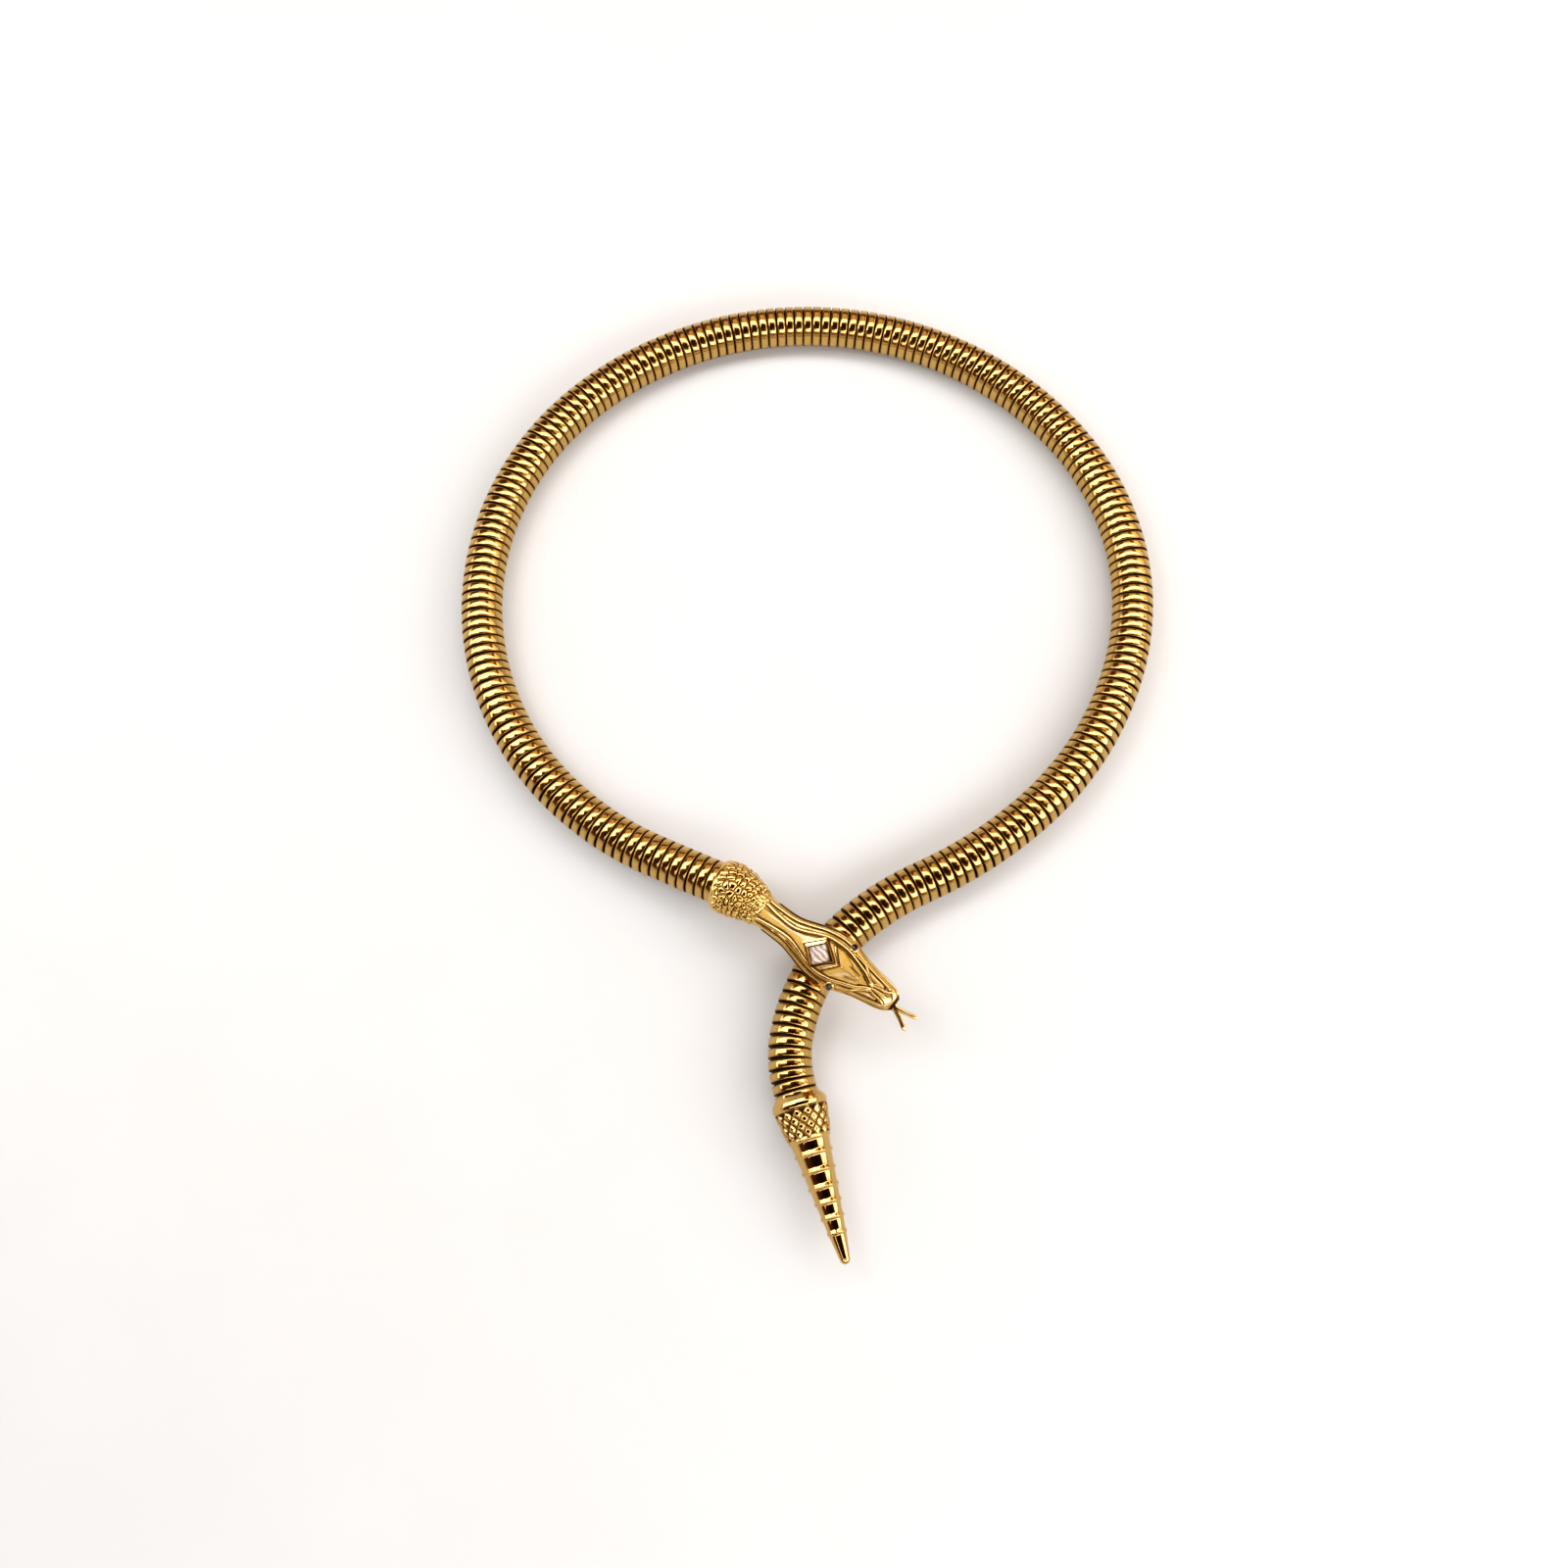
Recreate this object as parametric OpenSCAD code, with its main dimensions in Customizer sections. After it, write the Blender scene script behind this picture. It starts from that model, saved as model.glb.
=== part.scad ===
// Serpent collar of gas pipe, lying flat. The tail hangs in front and the head lies across the pipe.
// Millimetres. The surface it lies on is Z = 0, and +Y points to the back of the neck.

/* [Pipe] */
// Outside diameter of the pipe over its ribs
pipe_d = 8.4; // [8.2:0.1:8.6]
// Distance from one rib to the next along the pipe
rib_pitch = 1.97; // [1.9:0.01:2.1]
// Clear gap between two ribs on the inside of a bend
rib_gap = 0.16; // [0.14:0.01:0.25]
// Height of a rib's dome over its edges
rib_dome = 0.2; // [0.15:0.05:0.3]
// Diameter of the bore through each rib
rib_bore_d = 7.0; // [6.9:0.1:7.2]
// Outside diameter of the inner tube, across its corners
core_d = 6.6; // [6.2:0.1:6.6]
// Wall of the inner tube
core_wall = 0.5; // [0.4:0.1:0.8]
// How far each end of the pipe goes into its socket
socket_depth = 3; // [2:0.5:3]

/* [Head] */
// Turn of the head about its own length, which leans its top to the front
head_roll = 14; // [8:1:16]
// Climb of the pipe where it enters the head, in degrees
head_climb = 10; // [9.5:0.5:12]
// Diameter of the bumps that the scales of the socket are made of
scale_d = 1.9; // [1.7:0.1:2]
// Height of a scale over the casting
scale_lift = 0.38; // [0.3:0.02:0.45]
// Length of the lozenge bezel, from corner to corner
bezel_l = 8.2; // [7.8:0.1:8.4]
// Width of the lozenge bezel, from corner to corner
bezel_w = 5.9; // [5.7:0.1:6.1]
// Height of the bezel over the top of the head
bezel_lift = 0.4; // [0.3:0.05:0.6]
// Diagonal of the square stone
stone_d = 4.8; // [4.4:0.1:4.9]
// Diameter of an eye stone
eye_d = 1.3; // [1.1:0.1:1.4]

/* [Tail] */
// Diameter of the rim of the tail cap
rim_d = 10.6; // [10.4:0.1:10.8]
// Length of the tail casting
tail_l = 31.2; // [30.5:0.1:32]
// Number of scales in one row round the cap
cap_scales = 14; // [13:1:15]

/* [Clasp] */
// Thickness of the keeper's strap
keeper_t = 0.6; // [0.5:0.05:0.6]
// Width of the keeper along the pipe
keeper_w = 4; // [3:0.5:5]

/* [Hidden] */
gold = "goldenrod";
dark_gold = "darkgoldenrod";
fit = 0.15;

// Where the pipe leaves the tail cap, from the middle of the floor under the necklace
start_x = -2.82;
start_y = -68.39;
start_heading = 106.5;

// The route from the tail to the snout. Columns: length, turn to the left, climb at the end.
tail_bends = [10.6, 26.5];
tail_dip = asin((rim_d - pipe_d) / (tail_bends[0] + tail_bends[1]));
ROUTE = [
    [socket_depth + 1.5, 0, 0],
    [tail_bends[0], -27.8, -tail_dip],
    [tail_bends[1], -40.7, 0],
    [14.2, -13.6, 0],
    [26.7, 17.2, 0],
    [38, 32.4, 0],
    [51.5, 51.5, 0],
    [57.5, 48, 0],
    [60.6, 49.5, 0],
    [71.1, 67, 0],
    [29.2, 28.4, 0],
    [19.9, 16.3, 0.58 * head_climb],
    [14.9, 0.4, head_climb],
    [8, -15.2, head_climb],
    [15.5, 3.9, head_climb],
    [17.9, 0, -3]
];
head_rows = 3;
rows = len(ROUTE);

function total(column, n) = n <= 0 ? 0 : ROUTE[n - 1][column] + total(column, n - 1);
row_starts = [for (i = [0:rows]) total(0, i)];
row_headings = [for (i = [0:rows]) start_heading + total(1, i)];
function row_climb(i) = i == 0 ? 0 : ROUTE[i - 1][2];
function row_at(s, i = 0) = i == rows - 1 || s < row_starts[i + 1] ? i : row_at(s, i + 1);
function part_of_row(s, i) = (s - row_starts[i]) / ROUTE[i][0];
function heading(s) = let (i = row_at(s)) row_headings[i] + ROUTE[i][1] * part_of_row(s, i);
function climb(s) =
    let (i = row_at(s)) row_climb(i) + (row_climb(i + 1) - row_climb(i)) * part_of_row(s, i);
function ahead(s) =
    [cos(heading(s)) * cos(climb(s)), sin(heading(s)) * cos(climb(s)), sin(climb(s))];

head_s = row_starts[rows - head_rows];
head_l = row_starts[rows] - head_s;
pipe_end = head_s + socket_depth;
cap_s = socket_depth;

// Points along the route, a short step apart, added up from its start inside the tail cap
step = 0.5;
route_start = [start_x - ROUTE[0][0] * cos(start_heading),
               start_y - ROUTE[0][0] * sin(start_heading), rim_d / 2];
steps = ceil(row_starts[rows] / step) + 12;
ROUTE_POINTS = [for (i = 0, p = route_start; i <= steps; p = p + step * ahead((i + 0.5) * step),
                     i = i + 1) p];
function spot(s) =
    let (q = s / step, i = floor(q)) ROUTE_POINTS[i] * (i + 1 - q) + ROUTE_POINTS[i + 1] * (q - i);

function ease(t) = let (c = min(max(t, 0), 1)) c * c * (3 - 2 * c);
function roll(s) = head_roll * ease((s - head_s) / 10);

// Places a child that points along X at distance s along the route
module on_route(s) {
    translate(spot(s)) rotate([roll(s), -climb(s), heading(s)]) children();
}

// Ribs are as wide as the inside of the bend leaves room for, also next to a tighter bend
pipe_r = pipe_d / 2;
rib_count = floor(pipe_end / rib_pitch);
function bend(s) = let (i = row_at(s)) abs(ROUTE[i][1]) * PI / 180 / ROUTE[i][0];
function rib_room(s) = rib_pitch * (1 - (pipe_r - rib_dome) * bend(s)) - rib_gap;
function rib_width(s) = min([for (side = [-1:1]) rib_room(max(s + side * rib_pitch, 0))]);

// Half section of a rib, with its dome struck from one arc
module rib_profile(width) {
    dome_r = (pow(width / 2, 2) + pow(rib_dome, 2)) / (2 * rib_dome);
    intersection() {
        translate([pipe_r - dome_r, 0]) circle(r = dome_r, $fn = 48);
        translate([rib_bore_d / 2, -width / 2]) square([pipe_r, width]);
    }
}

module gas_pipe() {
    color(gold) for (i = [0:rib_count - 1]) {
        s = (i + 0.5) * rib_pitch;
        on_route(s) rotate([0, 90, 0]) rotate_extrude($fn = 72) rib_profile(rib_width(s));
    }
}

// Inner tube, swept along the route as one skin that turns in at both ends
core_sides = 10;
core_rings = 84;
function core_point(s, r, k) =
    let (a = 360 * k / core_sides, h = heading(s), c = climb(s))
    spot(s) + r * cos(a) * [-sin(h), cos(h), 0]
            + r * sin(a) * [-cos(h) * sin(c), -sin(h) * sin(c), cos(c)];
module pipe_core() {
    first = 0.2;
    last = rib_count * rib_pitch - 0.2;
    stations = [for (i = [0:core_rings - 1]) first + (last - first) * i / (core_rings - 1)];
    there = [for (s = stations) [s, core_d / 2]];
    back = [for (i = [core_rings - 1:-1:0]) [stations[i], core_d / 2 - core_wall]];
    loop = concat(there, back);
    n = len(loop);
    color(dark_gold) polyhedron(
        points = [for (q = loop) for (k = [0:core_sides - 1]) core_point(q[0], q[1], k)],
        faces = [for (i = [0:n - 1]) for (k = [0:core_sides - 1])
            let (a = i * core_sides, b = (i + 1) % n * core_sides, m = (k + 1) % core_sides)
            each [[a + k, b + k, b + m], [a + k, b + m, a + m]]]);
}

// Sections of the head casting. Columns: place along it, half width, rise, drop, squareness.
SECTIONS = [
    [0, 4.7, 4.7, 4.7, 2],
    [1, 4.95, 4.95, 4.95, 2],
    [3, 5.0, 5.05, 4.95, 2],
    [5, 4.7, 4.75, 4.6, 2],
    [7, 4.1, 4.2, 3.9, 2],
    [9, 3.55, 3.65, 3.2, 2.05],
    [11.5, 3.15, 3.25, 2.6, 2.2],
    [15, 3.1, 3.05, 2.3, 2.3],
    [18, 3.45, 3.0, 2.1, 2.4],
    [21, 4.25, 3.0, 2.0, 2.5],
    [24, 5.1, 3.1, 2.1, 2.5],
    [27, 5.35, 3.15, 2.2, 2.5],
    [29, 5.15, 3.1, 2.3, 2.5],
    [31, 4.5, 2.95, 2.3, 2.4],
    [33, 3.85, 2.75, 2.2, 2.4],
    [36, 3.25, 2.4, 2.0, 2.4],
    [38.5, 2.85, 2.0, 1.7, 2.3],
    [40.2, 2.25, 1.5, 1.5, 2.2],
    [41.4, 1.2, 0.8, 0.9, 2]
];
last_section = len(SECTIONS) - 1;
function section_at(u, i = 0) =
    i == last_section - 1 || u < SECTIONS[i + 1][0] ? i : section_at(u, i + 1);
function section_slope(c, i) =
    let (a = max(i - 1, 0), b = min(i + 1, last_section))
    (SECTIONS[b][c] - SECTIONS[a][c]) / (SECTIONS[b][0] - SECTIONS[a][0]);
// Smooth value of column c at distance u along the head, a cubic from one section to the next
function shape(c, u) =
    let (i = section_at(u), a = SECTIONS[i], b = SECTIONS[i + 1], h = b[0] - a[0],
         t = min(max((u - a[0]) / h, 0), 1), e = ease(t))
    a[c] * (1 - e) + b[c] * e
    + h * t * (1 - t) * ((1 - t) * section_slope(c, i) - t * section_slope(c, i + 1));

// Point of the head's skin at angle a round its section, 0 at the left side and 90 on top
function rim_power(x, n) = sign(x) * pow(abs(x), 2 / n);
function skin(u, a, lift = 0) =
    let (n = shape(4, u), high = sin(a) >= 0 ? shape(2, u) : shape(3, u))
    [u, rim_power(cos(a), n) * (shape(1, u) + lift), rim_power(sin(a), n) * (high + lift)];
// Point on top of the head at y to the left of its middle line
function top(u, y, lift = 0) =
    let (n = shape(4, u), side = min(abs(y) / shape(1, u), 1))
    [u, y, shape(2, u) * pow(1 - pow(side, n), 1 / n) + lift];
// Carries a point from the head's own coordinates to its place on the route
function placed(p) =
    let (s = head_s + p[0], h = heading(s), c = climb(s), r = roll(s),
         y = p[1] * cos(r) - p[2] * sin(r), z = p[1] * sin(r) + p[2] * cos(r))
    spot(s) + y * [-sin(h), cos(h), 0] + z * [-cos(h) * sin(c), -sin(h) * sin(c), cos(c)];

skin_sides = 26;
skin_rings = 43;
module head_skin() {
    stations = [for (i = [0:skin_rings - 1]) SECTIONS[last_section][0] * i / (skin_rings - 1)];
    n = skin_sides;
    last = (skin_rings - 1) * n;
    polyhedron(
        points = [for (u = stations) for (k = [0:n - 1]) placed(skin(u, 360 * k / n))],
        faces = concat(
            [for (i = [0:skin_rings - 2]) for (k = [0:n - 1])
                let (a = i * n, b = a + n, m = (k + 1) % n)
                each [[a + k, b + k, b + m], [a + k, b + m, a + m]]],
            [[for (k = [0:n - 1]) k]],
            [[for (k = [n - 1:-1:0]) last + k]]));
}

// A raised line over the casting. Columns of its table: place along the head, y, half thickness.
module ridge(table, side = 1, sink = 0.12) {
    for (i = [0:len(table) - 2]) hull() for (q = [table[i], table[i + 1]])
        translate(placed(top(q[0], side * q[1], -sink))) sphere(r = q[2], $fn = 8);
}

BROW = [[11.2, 1.7, 0.45], [14.5, 1.15, 0.45], [18, 1.05, 0.45], [20.3, 1.55, 0.42], [22.4, 2.35, 0.42],
        [25.3, 3.3, 0.42], [28.8, 3.35, 0.42], [31.4, 2.65, 0.42], [33.7, 1.7, 0.4],
        [36.2, 0.3, 0.36]];
STRAND = [[9.4, 3.0, 0.45], [11.5, 2.5, 0.5], [15, 2.35, 0.45], [18, 2.6, 0.45], [21, 3.45, 0.45],
          [24, 4.25, 0.45], [27.5, 4.65, 0.45], [29.5, 4.3, 0.45]];
LIP = [[30.6, 4.4, 0.34], [33.6, 3.4, 0.34], [37.2, 2.7, 0.32], [39.4, 1.9, 0.3], [40.9, 0.3, 0.3]];
NOSE = [[36.2, 0, 0.4], [37.8, 0, 0.45], [39.7, 0, 0.4], [40.8, 0, 0.3]];
KEEL = [[29.2, 0, 0.3], [31.2, 0, 0.28], [33.2, 0, 0.24]];
CHEVRON = [[26.7, 2.65, 0.26], [29.3, 0, 0.3]];

bezel_u = 24.45;
stone_u = 25.05;
stone_y = -0.35;
stone_girdle = shape(2, stone_u) - 0.1;
eye_u = 29.6;
eye_y = 4.15;
eye_lean = 38;
// Seat of an eye stone in the head's own coordinates, on the left or the right side
function eye_seat(side) = top(eye_u, side * eye_y, 0.05);

module on_head(p) {
    translate(placed(p)) rotate([roll(head_s + p[0]), -climb(head_s + p[0]),
                                 heading(head_s + p[0])]) children();
}

module socket_scales() {
    scale_rows = 6;
    row_step = 1.45;
    sphere_r = (pow(scale_d / 2, 2) + pow(scale_lift, 2)) / (2 * scale_lift);
    for (row = [0:scale_rows - 1]) {
        u = 1.7 + row * row_step;
        count = round(2 * PI * shape(1, u) / (scale_d * 0.9));
        for (k = [0:count - 1])
            translate(placed(skin(u, 360 * (k + row % 2 / 2) / count, scale_lift - sphere_r)))
                sphere(r = sphere_r, $fn = 8);
    }
}

module lozenge(length, width) {
    polygon([[length / 2, 0], [0, width / 2], [-length / 2, 0], [0, -width / 2]]);
}

// Place of the keeper along the pipe, where the head crosses over it
keeper_s = 31.4;
keeper_r = pipe_r + 0.25;
post_d = 1.6;
post_l = 1.4;
mouth_u = 37.4;
mouth_z = -0.1;
tongue_t = 0.6;
tongue_turn = -10;
tongue_droop = 3;

module serpent_head() {
    color(gold) difference() {
        union() {
            head_skin();
            socket_scales();
            for (side = [-1, 1]) {
                ridge(BROW, side);
                ridge(STRAND, side);
                ridge(LIP, side, 0.2);
                ridge(CHEVRON, side);
                translate(placed(eye_seat(side))) sphere(d = eye_d + 0.7, $fn = 16);
            }
            ridge(NOSE);
            ridge(KEEL);
            on_head([bezel_u, 0, shape(2, bezel_u) - 1])
                linear_extrude(1 + bezel_lift) lozenge(bezel_l, bezel_w);
        }
        // recess of the bezel and the stone's seat
        on_head([bezel_u, 0, shape(2, bezel_u) + bezel_lift - 0.3])
            linear_extrude(2) lozenge(bezel_l - 1.1, bezel_w - 0.8);
        on_head([stone_u, stone_y, stone_girdle - 1.9])
            cylinder(d = stone_d + 2 * fit, h = 4, $fn = 4);
        for (side = [-1, 1]) {
            on_head(eye_seat(side)) rotate([-side * eye_lean, 0, 0])
                translate([0, 0, -0.75]) cylinder(d = eye_d + 2 * fit, h = 3, $fn = 16);
            translate(placed(top(37.9, side * 1.2, 0.1))) sphere(r = 0.34, $fn = 8);
        }
        // mouth, socket for the pipe, and seat of the keeper
        on_head([mouth_u, 0, mouth_z]) rotate([0, tongue_droop, 0])
            translate([0, 0, -tongue_t / 2 - fit]) linear_extrude(tongue_t + 2 * fit)
                polygon([[0, -1.3], [0, 1.3], [1.4, 8], [6, 8], [6, -8], [1.4, -8]]);
        on_route(head_s) rotate([0, 90, 0])
            translate([0, 0, -1]) cylinder(r = pipe_r + fit, h = 1 + socket_depth + 0.4, $fn = 48);
        on_route(keeper_s) rotate([0, 90, 0])
            cylinder(r = keeper_r + keeper_t + fit, h = 14, center = true, $fn = 48);
        translate(spot(keeper_s)) cylinder(d = post_d + 2 * fit,
            h = keeper_r + keeper_t + post_l + fit, $fn = 24);
    }
}

// Step cut stone with a table. Columns of its profile: corner radius, height from the girdle.
module cut_stone(profile, sides) {
    rotate_extrude($fn = sides) polygon(profile);
}

module head_stone() {
    r = stone_d / 2;
    color("mistyrose") on_head([stone_u, stone_y, stone_girdle]) cut_stone(
        [[0, -1.6], [0.5, -1.55], [r * 0.75, -0.7], [r, -0.1], [r, 0.1], [r * 0.84, 0.4],
         [r * 0.62, 0.6], [0, 0.6]], 4);
}

module eye_stone(side) {
    r = eye_d / 2;
    color("whitesmoke") on_head(eye_seat(side)) rotate([-side * eye_lean, 0, 0]) cut_stone(
        [[0, -0.6], [r * 0.9, -0.15], [r, 0.4], [r, 0.5], [r * 0.8, 0.75], [r * 0.5, 0.85],
         [0, 0.85]], 8);
}
module eye_left() { eye_stone(1); }
module eye_right() { eye_stone(-1); }

// Flat forked tongue whose root lies in the mouth, with a small ball at the end of each prong
module forked_tongue() {
    fork_x = 5.3;
    tip_x = fork_x + 2.6;
    tip_y = 1.5;
    color(gold) on_head([mouth_u, 0, mouth_z]) rotate([0, tongue_droop, 0])
        translate([0.3, 0, 0]) rotate([0, 0, tongue_turn]) union() {
        translate([0, 0, -tongue_t / 2]) linear_extrude(tongue_t)
            polygon([[0, -0.9], [0, 0.9], [4.2, 0.62], [fork_x, 0.5], [tip_x, tip_y + 0.28],
                     [tip_x + 0.1, tip_y - 0.3], [fork_x + 0.35, 0], [tip_x + 0.1, 0.3 - tip_y],
                     [tip_x, -tip_y - 0.28], [fork_x, -0.5], [4.2, -0.62]]);
        for (side = [-1, 1]) translate([tip_x, side * tip_y, 0]) sphere(d = 0.8, $fn = 24);
    }
}

// Plain spring strap round the crossing pipe, open below, with a post up into the head
module head_clasp() {
    outer_r = keeper_r + keeper_t;
    mouth_w = 7.6;
    color(dark_gold) union() {
        on_route(keeper_s) rotate([0, 90, 0]) difference() {
            cylinder(r = outer_r, h = keeper_w, center = true, $fn = 72);
            cylinder(r = keeper_r, h = keeper_w + 1, center = true, $fn = 72);
            translate([keeper_r * 0.42, -mouth_w, -keeper_w]) cube([outer_r, 2 * mouth_w, 2 * keeper_w]);
        }
        translate(spot(keeper_s)) translate([0, 0, keeper_r + 0.15])
            cylinder(d = post_d, h = keeper_t - 0.15 + post_l, $fn = 24);
    }
}

// Raised rings of the tail. Columns: place along it, radius, radius of the waist behind the ring.
RINGS = [
    [8.2, 4.15, 3.6],
    [10.9, 3.77, 3.2],
    [14.1, 3.37, 2.9],
    [17.1, 3.05, 2.6],
    [19.9, 2.73, 2.25],
    [22.7, 2.35, 1.85],
    [25.5, 1.97, 1.75]
];
ring_bead = 0.38;
waist_place = 0.68;
cap_l = 8;
cap_r = [4.85, 4.05];
tip_r = 0.95;

module tail_profile() {
    n = len(RINGS);
    difference() {
        union() {
            polygon(concat(
                [[0, 0], [4.5, 0], [cap_r[0], 2.4], [cap_r[1], cap_l - 0.4]],
                [for (i = [0:n - 1]) each
                    let (q = RINGS[i], after = i < n - 1 ? RINGS[i + 1][0] : tail_l)
                    [[q[1] - ring_bead, q[0]],
                     [q[2], q[0] + (after - q[0]) * (i < n - 1 ? waist_place : 0.15)]]],
                [[tip_r, tail_l - tip_r], [0, tail_l - tip_r]]));
            translate([rim_d / 2 - 1.15, 1.6]) circle(r = 1.15, $fn = 48);
            for (q = RINGS) translate([q[1] - ring_bead, q[0]]) circle(r = ring_bead, $fn = 32);
            intersection() {
                translate([0, tail_l - tip_r]) circle(r = tip_r, $fn = 32);
                translate([0, tail_l - 2 * tip_r]) square(2 * tip_r);
            }
        }
        translate([-1, -1]) square([1 + pipe_r + fit, 1 + socket_depth + 0.4]);
    }
}

// Low four sided pyramid over a lozenge, sunk a little into what it lies on
module diamond_scale(length, width, height, sink = 0.4) {
    polyhedron(
        points = [[length / 2, 0, 0], [0, width / 2, 0], [-length / 2, 0, 0], [0, -width / 2, 0],
                  [0, 0, height], [length / 2, 0, -sink], [0, width / 2, -sink],
                  [-length / 2, 0, -sink], [0, -width / 2, -sink]],
        faces = [[4, 1, 0], [4, 2, 1], [4, 3, 2], [4, 0, 3], [0, 1, 6, 5], [1, 2, 7, 6],
                 [2, 3, 8, 7], [3, 0, 5, 8], [5, 6, 7, 8]]);
}

module tail_finial() {
    scale_rows = 4;
    row_step = 1.2;
    scale_l = 2 * row_step - 0.2;
    color(gold) translate(spot(cap_s)) rotate([0, 0, start_heading + 180]) union() {
        rotate([0, 90, 0]) rotate_extrude($fn = 72) tail_profile();
        for (row = [0:scale_rows - 1]) for (k = [0:cap_scales - 1]) {
            along = 3.55 + row * row_step;
            r = cap_r[0] + (cap_r[1] - cap_r[0]) * (along - 2.4) / (cap_l - 2.8);
            rotate([360 * (k + row % 2 / 2) / cap_scales, 0, 0]) translate([along, 0, r])
                rotate([0, 8, 0]) diamond_scale(scale_l, 2 * PI * r / cap_scales - 0.25, 0.32);
        }
    }
}

gas_pipe();
pipe_core();
serpent_head();
head_stone();
eye_left();
eye_right();
forked_tongue();
head_clasp();
tail_finial();
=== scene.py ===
import math
import bpy
import numpy as np
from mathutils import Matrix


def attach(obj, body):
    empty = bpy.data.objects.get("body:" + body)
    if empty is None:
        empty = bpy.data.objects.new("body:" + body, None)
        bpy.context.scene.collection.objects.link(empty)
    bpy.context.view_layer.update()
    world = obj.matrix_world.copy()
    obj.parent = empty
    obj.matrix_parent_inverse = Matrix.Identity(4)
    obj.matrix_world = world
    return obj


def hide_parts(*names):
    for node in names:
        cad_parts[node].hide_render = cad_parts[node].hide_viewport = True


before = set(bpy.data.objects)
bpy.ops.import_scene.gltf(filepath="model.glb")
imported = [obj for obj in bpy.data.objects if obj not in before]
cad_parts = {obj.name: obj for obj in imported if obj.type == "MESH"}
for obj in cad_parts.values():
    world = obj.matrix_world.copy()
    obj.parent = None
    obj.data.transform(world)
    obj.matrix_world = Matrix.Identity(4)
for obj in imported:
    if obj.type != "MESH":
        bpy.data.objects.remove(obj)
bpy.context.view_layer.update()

mm = 0.001
print("frame loaded")


# small helpers
def linearColour(hexText, alpha=1.0):
    # each sRGB channel c becomes c / 12.92 under 0.04045, otherwise ((c + 0.055) / 1.055) ^ 2.4
    c = np.array([int(hexText[i:i + 2], 16) for i in (1, 3, 5)]) / 255
    return (*np.where(c < 0.04045, c / 12.92, ((c + 0.055) / 1.055) ** 2.4), alpha)


def addNode(tree, kind, settings=None, **links):
    # one node, its settings (property names or input names) and what is linked into its inputs
    node = tree.nodes.new(kind)
    for key, value in (settings or {}).items():
        if key in node.inputs:
            node.inputs[key].default_value = value
        else:
            setattr(node, key, value)
    for key, socket in links.items():
        tree.links.new(socket, node.inputs[int(key[1:]) if key[0] == "i" and key[1:].isdigit() else key])
    return node


def newMaterial(name):
    # a fresh material, its node tree and the shader in it
    material = bpy.data.materials.new(name)
    material.use_nodes = True
    tree = material.node_tree
    return material, tree, tree.nodes["Principled BSDF"]


def easeStep(t):
    # 3 t^2 - 2 t^3 between 0 and 1
    t = np.clip(t, 0, 1)
    return t * t * (3 - 2 * t)


def bump(distance, width):
    # rounded ridge section, (1 - (d / w)^2)^2 inside the width and 0 outside it
    return np.clip(1 - (distance / width) ** 2, 0, 1) ** 2


def hashed(i, j=0.0, k=0.0):
    # repeatable number from 0 to 1, frac(sin(12.99 i + 78.23 j + 37.72 k) * 43758.55)
    return np.mod(np.sin(12.9898 * i + 78.233 * j + 37.719 * k) * 43758.5453, 1.0)


def grid(points, across, along, wrap=True, capStart=False, capEnd=False, values=None):
    # rows x columns of points in mm, quads between neighbours, one pole vertex over each closed end.
    # across has one entry per column (plus one past the seam), along one per row, for the UV map.
    rows, cols = points.shape[:2]
    vertices = points.reshape(-1, 3)
    level = np.zeros(rows * cols) if values is None else values.reshape(-1)
    r, c = np.meshgrid(np.arange(rows - 1), np.arange(cols if wrap else cols - 1), indexing="ij")
    r, c = r.ravel(), c.ravel()
    n = (c + 1) % cols
    faces = [np.stack([r * cols + c, r * cols + n, (r + 1) * cols + n, (r + 1) * cols + c], 1)]
    corners = [np.stack([along[r], across[c], along[r], across[c + 1], along[r + 1], across[c + 1],
                         along[r + 1], across[c]], 1).reshape(-1, 2)]
    triangles, triangleCorners = [], []
    for closed, row, turn in ((capStart, 0, -1), (capEnd, rows - 1, 1)):
        if closed:
            pole = len(vertices)
            vertices = np.vstack([vertices, points[row].mean(0)])
            level = np.append(level, level[row * cols:(row + 1) * cols].mean())
            k = np.arange(cols)
            m = (k + 1) % cols
            pair = (row * cols + k, row * cols + m) if turn > 0 else (row * cols + m, row * cols + k)
            triangles.append(np.stack([*pair, np.full(cols, pole)], 1))
            here = np.full(cols, along[row])
            a, b = (across[k], across[k + 1]) if turn > 0 else (across[k + 1], across[k])
            triangleCorners.append(np.stack([here, a, here, b, here, (a + b) / 2], 1).reshape(-1, 2))
    quads = faces[0]
    solid = np.vstack([quads[:, [0, 1, 2]], quads[:, [0, 2, 3]]] + triangles)
    p = vertices[solid]
    volume = (p[:, 0] * np.cross(p[:, 1], p[:, 2])).sum() / 6
    uv = np.vstack(corners + triangleCorners)
    if volume < 0:                       # every face the other way round
        uv = np.vstack([corners[0].reshape(-1, 4, 2)[:, ::-1].reshape(-1, 2)]
                       + [t.reshape(-1, 3, 2)[:, ::-1].reshape(-1, 2) for t in triangleCorners])
        quads = quads[:, ::-1]
        triangles = [t[:, ::-1] for t in triangles]
    return vertices, quads, np.vstack(triangles) if triangles else np.zeros((0, 3), int), uv, level


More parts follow.
